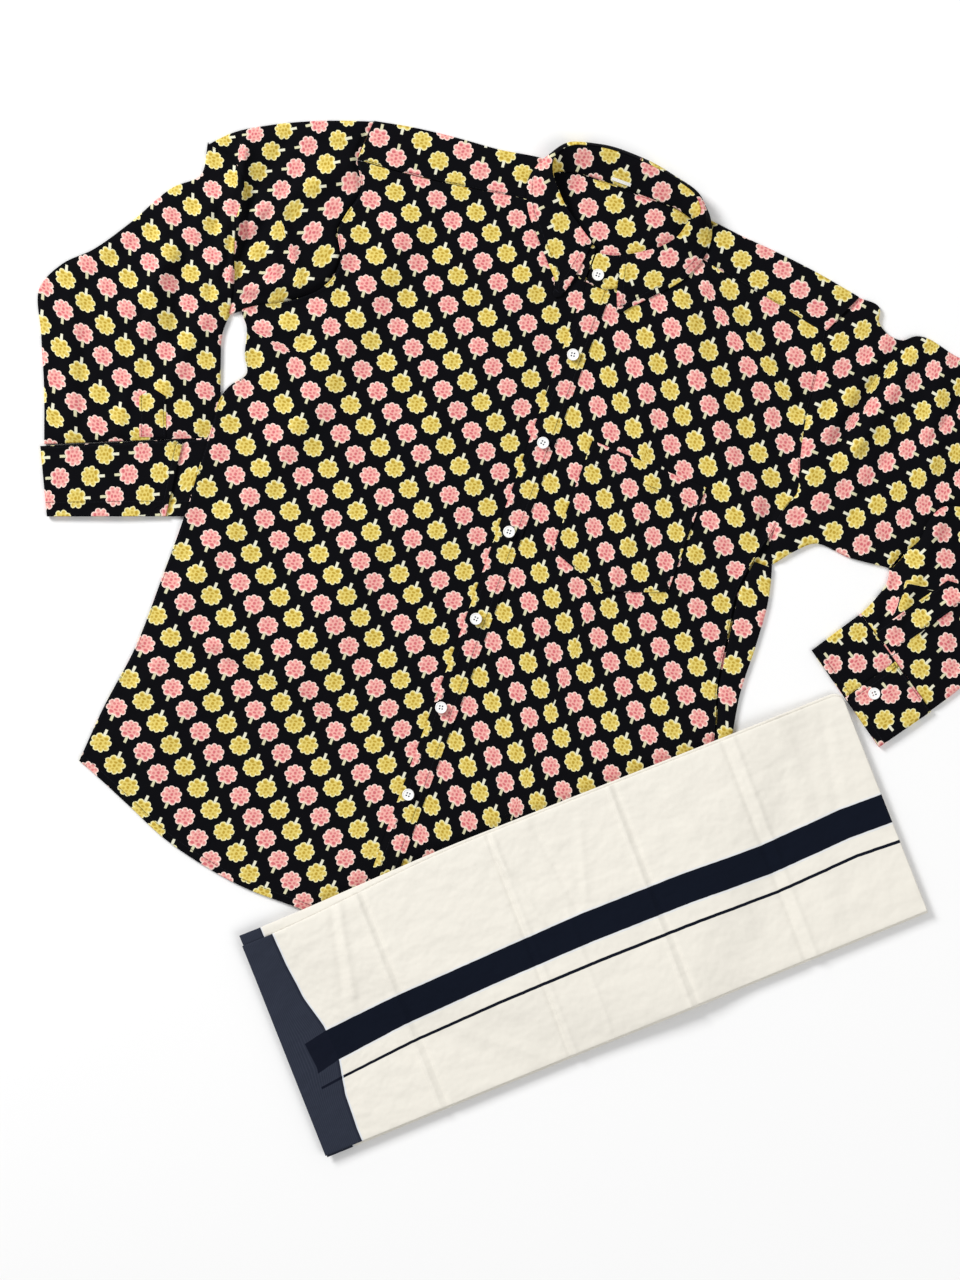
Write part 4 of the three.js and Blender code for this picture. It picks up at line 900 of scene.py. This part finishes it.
def addSleevePlacket(side, x, y, turn, length, point, printAt):
    angle, width = math.radians(turn), sleevePlacket["width"]
    up, over = np.meshgrid(stations(34, 0.01), stations(14, 0.02) - 0.5, indexing="ij")
    across = over * width
    along = 2 + up * (length - point * np.abs(over) / 0.5)
    grid = np.stack([x + across * math.cos(angle) - along * math.sin(angle),
                     y + across * math.sin(angle) + along * math.cos(angle)], -1)
    z = topOf(f"sleeve_{side}_lower", grid) + sleevePlacket["rise"]
    edge = np.minimum((0.5 - np.abs(over)) * width, (length - along) * 0.9)
    seam = np.stack([edge - sleevePlacket["stitch"], along], -1)
    piece = cloth(f"cloth_sleeve_placket_{side}", raised(grid, z), printAt(grid), seam=seam,
                  material=cotton, wall=0.6, nodes=[f"sleeve_placket_{side}"])


addSleevePlacket("left", -338, -287, 20.07, 46, 8, lambda p: grain(p, 17, (19, 31)))
addSleevePlacket("right", 367, -232, -34.9, 92, 10, lambda p: grain(p, -35, (20, 12)))
print("stage: cuffs")

# Buttons: a dished disc with a rounded rim and four thread holes
button = {"sides": 72, "dishRadius": 4.2, "holeOffset": 1.25, "holeRadius": 0.72, "holeDepth": 1.1,
          "turns": (-20, -12, -31, -18, -26, -9, -22), "cuffTurn": 22}
buttonRim = [(4.4, 1.66), (4.62, 1.82), (4.85, 1.94), (5.1, 1.98), (5.3, 1.9), (5.45, 1.72), (5.56, 1.4),
             (5.6, 1.0), (5.56, 0.6), (5.4, 0.2), (5.0, 0.0)]  # radius, height
plastic = Net("white plastic").finish(Base_Color=tint(240, 240, 238), Roughness=0.3, Coat_Weight=0.3)
thread = Net("button thread").finish(Base_Color=tint(58, 62, 84), Roughness=0.85)


def toHole(x, y):  # distance to the middle of the nearest thread hole
    return math.hypot(abs(x) - button["holeOffset"], abs(y) - button["holeOffset"])


def addButton(node, name, turn):
    low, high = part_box(node)
    centre = (low + high) / 2
    sides = button["sides"]
    dish = [0.3 * k for k in range(15)]
    profile = [(r, 1.45 + 0.1 * (r / button["dishRadius"]) ** 2) for r in dish] + buttonRim
    verts, faces = [], []
    for r, h in profile:
        for k in range(sides):
            a = 2 * math.pi * k / sides
            x, y = r * math.cos(a), r * math.sin(a)
            sunk = button["holeDepth"] * float(1 - smooth(toHole(x, y), 0.55, 0.85)) if r < 4.4 else 0
            verts.append((x / 1000, y / 1000, (h - sunk) / 1000))
    for i in range(len(profile) - 1):
        for k in range(sides):
            n = (k + 1) % sides
            faces.append((i * sides + k, (i + 1) * sides + k, (i + 1) * sides + n, i * sides + n))
    faces.append(tuple(range((len(profile) - 1) * sides, len(profile) * sides)))
    mesh = bpy.data.meshes.new(name)
    mesh.from_pydata(verts, [], faces)
    mesh.polygons.foreach_set("use_smooth", np.ones(len(faces), bool))
    mesh.materials.append(plastic)
    mesh.materials.append(thread)
    for face in mesh.polygons:
        x, y, z = face.center * 1000
        face.material_index = int(toHole(x, y) < button["holeRadius"])
    piece = bpy.data.objects.new(name, mesh)
    bpy.context.collection.objects.link(piece)
    piece.location = (centre.x, centre.y, low.z)
    piece.rotation_euler.z = math.radians(turn)
    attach(piece, "root")
    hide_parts(node)


for number, turn in enumerate(button["turns"], 1):
    addButton(f"button_{number}", f"shown_button_{number}", turn)
addButton("cuff_button", "shown_cuff_button", button["cuffTurn"])
print("stage: buttons")


loop = {"left": -19, "low": 87.4, "high": 90.2, "level": 7.4, "tilt": 0.45, "bow": 0.5, "ribs": 9}


def addLoop():  # the pale tape in the neck
    left, low, high = loop["left"], loop["low"], loop["high"]
    grid = patch(curve([(left, low), (0, low)]), curve([(left, high), (0, high)]),
                 curve([(left, low), (left, high)]), curve([(0, low), (0, high)]),
                 stations(20, 0.01), stations(6, 0.04))[0]
    x, y = grid[..., 0], grid[..., 1]
    z = loop["level"] + loop["tilt"] * (y - low) + loop["bow"] * np.sin(math.pi * (x - left) / -left)
    net = Net("white tape")
    u, v = net.uv("print", 100)
    ribs = net.maths("SINE", u * loop["ribs"])
    white = net.finish(Base_Color=tint(236, 234, 226), Roughness=0.85, Normal=net.bump(ribs * 0.08))
    cloth("cloth_neck_loop", raised(grid, z), grid.copy(), material=white, wall=0.7, nodes=["neck_loop"])


addLoop()
print("stage: neck loop")

# Mundu. Its plan has one long edge along X and the woven end band at X = 0.
mundu = {"length": 603, "depth": 220, "level": 5.4, "lift": 5.2, "corner": 9.0, "edgeDrop": 0.5}
# Cloth coordinates in mm: y of the stripe's middle and the band's two edges, the cloth's far edge,
# and x of the end band's inner edge
woven = {"stripe": 72, "stripeHalf": 1.4, "bandLow": 90, "bandHigh": 118, "farEdge": 226, "endBand": 34}
outline = rightRoll[5::-1] + rightHem[1:-1][::-1] + hem[1:][::-1] + [(-150, -400)]
shirtInMundu = munduPlan.local(shirtPlan.place(np.array([(x, y, 0) for x, y in outline], float)))


def outside(x, y):  # distance outside the shirt's outline, 0 inside it
    nearest = np.full(x.shape, 1e9)
    inside = np.zeros(x.shape, bool)
    for a, b in zip(shirtInMundu, np.roll(shirtInMundu, -1, axis=0)):
        sideX, sideY = b - a
        share = np.clip(((x - a[0]) * sideX + (y - a[1]) * sideY) / (sideX**2 + sideY**2), 0, 1)
        nearest = np.minimum(nearest, np.hypot(x - a[0] - sideX * share, y - a[1] - sideY * share))
        crosses = (a[1] > y) != (b[1] > y)
        with np.errstate(divide="ignore", invalid="ignore"):
            inside ^= crosses & (x < sideX * (y - a[1]) / sideY + a[0])
    return np.where(inside, 0, nearest)


def lifted(x, y, reach):  # the pack lies over the shirt's corner
    return mundu["lift"] * (1 - smooth(outside(x, y), 16, reach))


# x0, y0, x1, y1, width, height: the pressed folds, and soft waves beside them
munduFolds = [
    (113, 4, 112, 218, 2.2, 1.5), (120, 4, 118, 218, 3.0, -1.2), (243, 4, 246, 222, 2.4, -1.4),
    (249, 4, 251, 222, 3.4, 1.0), (287, 12, 290, 130, 3.4, 0.8), (365, 4, 368, 224, 2.4, 1.5),
    (372, 4, 374, 224, 3.0, -1.1), (481, 4, 483, 224, 4.0, -1.3), (491, 4, 493, 224, 4.0, 1.2),
    (95, 217, 75, 130, 5, 1.2), (87, 215, 68, 140, 5, -0.9), (245, 214, 265, 130, 5, 1.2),
    (290, 214, 300, 130, 5, -1.0), (420, 200, 440, 60, 14, 1.1), (540, 214, 520, 40, 15, 1.3),
    (160, 60, 210, 20, 10, 0.9), (330, 200, 312, 140, 6, 0.8), (575, 200, 560, 120, 8, -0.8),
    (40, 200, 56, 120, 8, 0.8),
]
bandKnots = np.array([  # x; then y of the stripe's middle, the band's lower and upper edges
    (0, 59, 72, 103), (14, 61, 74, 105), (40, 64, 80, 110), (110, 70.5, 88, 116), (200, 75, 93, 120),
    (300, 77, 96, 124), (400, 77, 96, 124), (480, 75, 93, 121), (500, 76, 94, 122), (560, 79, 97, 125),
    (603, 77, 96, 124)], float)
endEdge = np.array([(-2, 33), (15, 33), (48, 34.5), (66, 38), (80, 41), (114, 39.5), (128, 36),
                    (146, 31.5), (180, 28), (226, 26)], float)  # y, x of the end band's inner edge


def munduCloth(x, y, top):  # straight cloth coordinates, with the bands level
    heights = [0, *(np.interp(x, bandKnots[:, 0], bandKnots[:, k]) for k in (1, 2, 3)), top]
    levels = [0, woven["stripe"], woven["bandLow"], woven["bandHigh"], woven["farEdge"]]
    v = y
    for k in range(4):
        share = (y - heights[k]) / (heights[k + 1] - heights[k])
        v = np.where((y < heights[k]) & (k > 0), v, lerp(levels[k], levels[k + 1], share))
    wander = np.interp(y, endEdge[:, 0], endEdge[:, 1]) - woven["endBand"]
    return np.stack([x - wander * smooth(x, 2, 26) * (1 - smooth(x, 44, 120)), v], -1)


# the darker cream for the folded layers below is painted shade between the stacked layers
munduInks = {
    "cream": tint(229, 225, 215), "shadedCream": tint(216, 208, 192), "yarn": tint(202, 192, 176),
    "band": tint(3, 10, 26), "pale": tint(208, 215, 226), "slate": tint(42, 47, 60),
    "slateLight": tint(74, 79, 94), "slateDark": tint(24, 28, 42), "slateEdge": tint(22, 26, 42),
    "bandOnSlate": tint(6, 12, 28),
}


def creamCotton(name, endBand, banded, cream=munduInks["cream"]):
    net = Net(name)
    u, v = net.uv("print", 100)
    pale = munduInks["pale"]
    yarns = net.noise(u * 0.5, v * 5, 1.0, 1.0) * 0.5 + net.noise(u * 5, v * 0.5, 1.0, 1.0) * 0.5
    colour = net.mix(yarns * 0.14, cream, munduInks["yarn"])
    ripple = net.noise(u, v, 0.05, 2.0) - 0.5
    inward = u - (endBand + ripple * 0.8)  # distance from the end band's inner edge
    inEnd = net.step(inward, 0.15, -0.15)
    lines = net.maths("SINE", u * 3.4 + ripple * 2)
    threads = net.noise(u * 6, v * 0.35, 1.0, 2.0)
    slate = net.mix(net.step(lines, 0.1, 0.9) * 0.22, munduInks["slate"], munduInks["slateLight"])
    slate = net.mix(threads * 0.5, slate, munduInks["slateDark"])
    slate = net.mix(net.step(abs(inward + 1.4), 1.3, 0.8) * 0.5, slate, munduInks["slateEdge"])
    beside = net.step(abs(inward - 0.8), 0.8, 0.5) * 0.75
    if banded:
        wave = net.noise(u, v * 0.1, 0.12, 2.0) * 1.2 - 0.6
        line = v + wave * 0.6
        started = net.step(u - 13.5 + (v - 90) * 0.03, -0.3, 0.3)
        low, high = woven["bandLow"], woven["bandHigh"]
        inBand = net.step(line, low - 0.2, low + 0.2) * net.step(line, high + 0.2, high - 0.2) * started
        half = woven["stripeHalf"]
        stripe = net.step(abs(line - woven["stripe"]), half + 0.2, half - 0.15) * started
        halo = net.step(abs(line - (low + high) / 2), 16.2, 15.4) * (1 - inBand)
        navy = net.maths("MAXIMUM", inBand, stripe)
        colour = net.mix(navy, net.mix(halo * 0.5, colour, pale), munduInks["band"])
        slate = net.mix(navy, slate, munduInks["bandOnSlate"])
        beside = beside * (1 - inBand)
    colour = net.mix(beside, net.mix(inEnd, colour, slate), pale)
    height = ripple * 1.8 + yarns * 0.07 + net.noise(u * 0.4, v, 0.02, 3.0) * 2.4 + lines * inEnd * 0.03
    return net.finish(Base_Color=colour, Roughness=0.87, Normal=net.bump(height), Sheen_Weight=0.02,
                      Specular_IOR_Level=0.14)


def cornerCut(x, right, radius):  # how far a rounded corner falls at x
    into = np.clip(x - (right - radius), 0, radius)
    return radius - np.sqrt(radius**2 - into**2)


def addMunduSheet(name, rise, left, bottom, topStart, topEnd, endBand, banded):
    columns, rows = (360, 90) if banded else (160, 40)
    over, up = np.meshgrid(stations(columns, 0.0012), stations(rows, 0.003))
    x = lerp(left, mundu["length"], over)
    top = lerp(topStart, topEnd, smooth(over, 0, 0.4))
    y = lerp(lerp(bottom, bottom + 6, over), top, up)
    y = y - cornerCut(x, mundu["length"], mundu["corner"]) * up
    z = mundu["level"] + lifted(x, y, 80) + rise + ridges(munduFolds, x, y) * (1 if banded else 0.35)
    edge = np.minimum(np.minimum(up, 1 - up) * mundu["depth"], np.minimum(over, 1 - over) * mundu["length"])
    z = z - mundu["edgeDrop"] * np.exp(-edge / 1.2)
    piece = cloth(f"cloth_{name}", np.stack([x, y, z], -1), munduCloth(x, y, top), plan=munduPlan,
                  material=creamCotton(name.replace("_", " "), endBand, banded), wall=0.6, nodes=[name])


addMunduSheet("mundu_top", 2.8, -4, 1, 212, 225.5, 34, True)
addMunduSheet("mundu_second", 0.9, -3, -1, 222, 228, 24, False)
print("stage: mundu's upper layers")


folds = {"layers": 4, "radius": 0.62, "length": 602, "corner": 14.0, "wander": 0.8}


def addMunduFolds():  # the hidden layers, folded to and fro
    radius, length = folds["radius"], folds["length"]
    profile = []  # share of the depth, level, and how far a fold reaches out
    for layer in range(folds["layers"]):
        level = 0.5 + 2 * radius * layer
        goes = np.linspace(0, 1, 26) if layer % 2 == 0 else np.linspace(1, 0, 26)
        profile += [(p, level, 0) for p in goes]
        if layer < folds["layers"] - 1:
            side = 1 if layer % 2 == 0 else -1
            for a in np.linspace(-math.pi / 2, math.pi / 2, 7)[1:-1]:
                profile.append((goes[-1], level + radius + radius * math.sin(a),
                                side * radius * math.cos(a) * 1.4))
    profile = np.array(profile)
    up, level, out = profile[:, :1], profile[:, 1:2], profile[:, 2:]
    s = stations(120, 0.0015)[None]
    x = length * s + 1.1 * np.sin(level * 2.1) * (1 - s)
    low, high = lerp(1.5, 7.5, s), lerp(215, 224, smooth(s, 0, 0.4))
    y = lerp(low, high, up) - cornerCut(x, length, folds["corner"]) * up + out
    y = y + folds["wander"] * np.sin(level * 3.7) * (up - 0.5)
    z = level * 1.06 + lifted(x, y, 70)
    reach = runLength(profile[:, :2] * (mundu["depth"], 1))
    uv = np.stack([x, np.broadcast_to(reach[:, None] + 400, x.shape)], -1)
    # the hidden layers take a darker cream: painted shade between the layers
    piece = cloth("cloth_mundu_folds", np.stack([x, y, z], -1), uv, plan=munduPlan, wall=0.4,
                  material=creamCotton("mundu folds", 26, False, munduInks["shadedCream"]),
                  nodes=["mundu_folds"])


addMunduFolds()
print("stage: mundu's folds")

# Floor, light and camera
studio = {"floorSize": 24.0, "floor": (0.86, 0.86, 0.86, 1), "world": 0.4,
          "key": ((-2.9, 2.5, 2.5), 1.5, 212), "fill": ((2.0, -1.2, 2.6), 2.2, 44),  # place, size, power
          "cameraHeight": 3.0, "frameHeight": 1.1963, "sensor": 36}


def addFloor():
    mesh = bpy.data.meshes.new("floor")
    r = studio["floorSize"] / 2
    mesh.from_pydata([(-r, -r, 0), (r, -r, 0), (r, r, 0), (-r, r, 0)], [], [(0, 1, 2, 3)])
    net = Net("floor")
    mesh.materials.append(net.finish(Base_Color=studio["floor"], Roughness=0.9))
    floor = bpy.data.objects.new("floor", mesh)
    bpy.context.collection.objects.link(floor)


def addLight(name, place, size, power):
    light = bpy.data.lights.new(name, "AREA")
    light.shape = "SQUARE"
    light.size = size
    light.energy = power
    lamp = bpy.data.objects.new(name, light)
    bpy.context.collection.objects.link(lamp)
    lamp.location = place
    lamp.rotation_euler = (Vector((0, 0, 0)) - Vector(place)).to_track_quat("-Z", "Y").to_euler()


addFloor()
addLight("key", *studio["key"])
addLight("fill", *studio["fill"])
world = bpy.data.worlds.new("studio")
world.use_nodes = True
world.node_tree.nodes["Background"].inputs[0].default_value = (1, 1, 1, 1)
world.node_tree.nodes["Background"].inputs[1].default_value = studio["world"]
bpy.context.scene.world = world
bpy.context.scene.view_settings.view_transform = "Standard"

camera = bpy.data.cameras.new("camera")
camera.sensor_width = studio["sensor"]
camera.lens = studio["sensor"] / studio["frameHeight"] * studio["cameraHeight"]
camera.clip_end = 20
view = bpy.data.objects.new("camera", camera)
bpy.context.collection.objects.link(view)
view.location = (topButton.x - 0.1103, topButton.y - 0.3411, studio["cameraHeight"] + 0.005)
bpy.context.scene.camera = view

print("stage: studio")
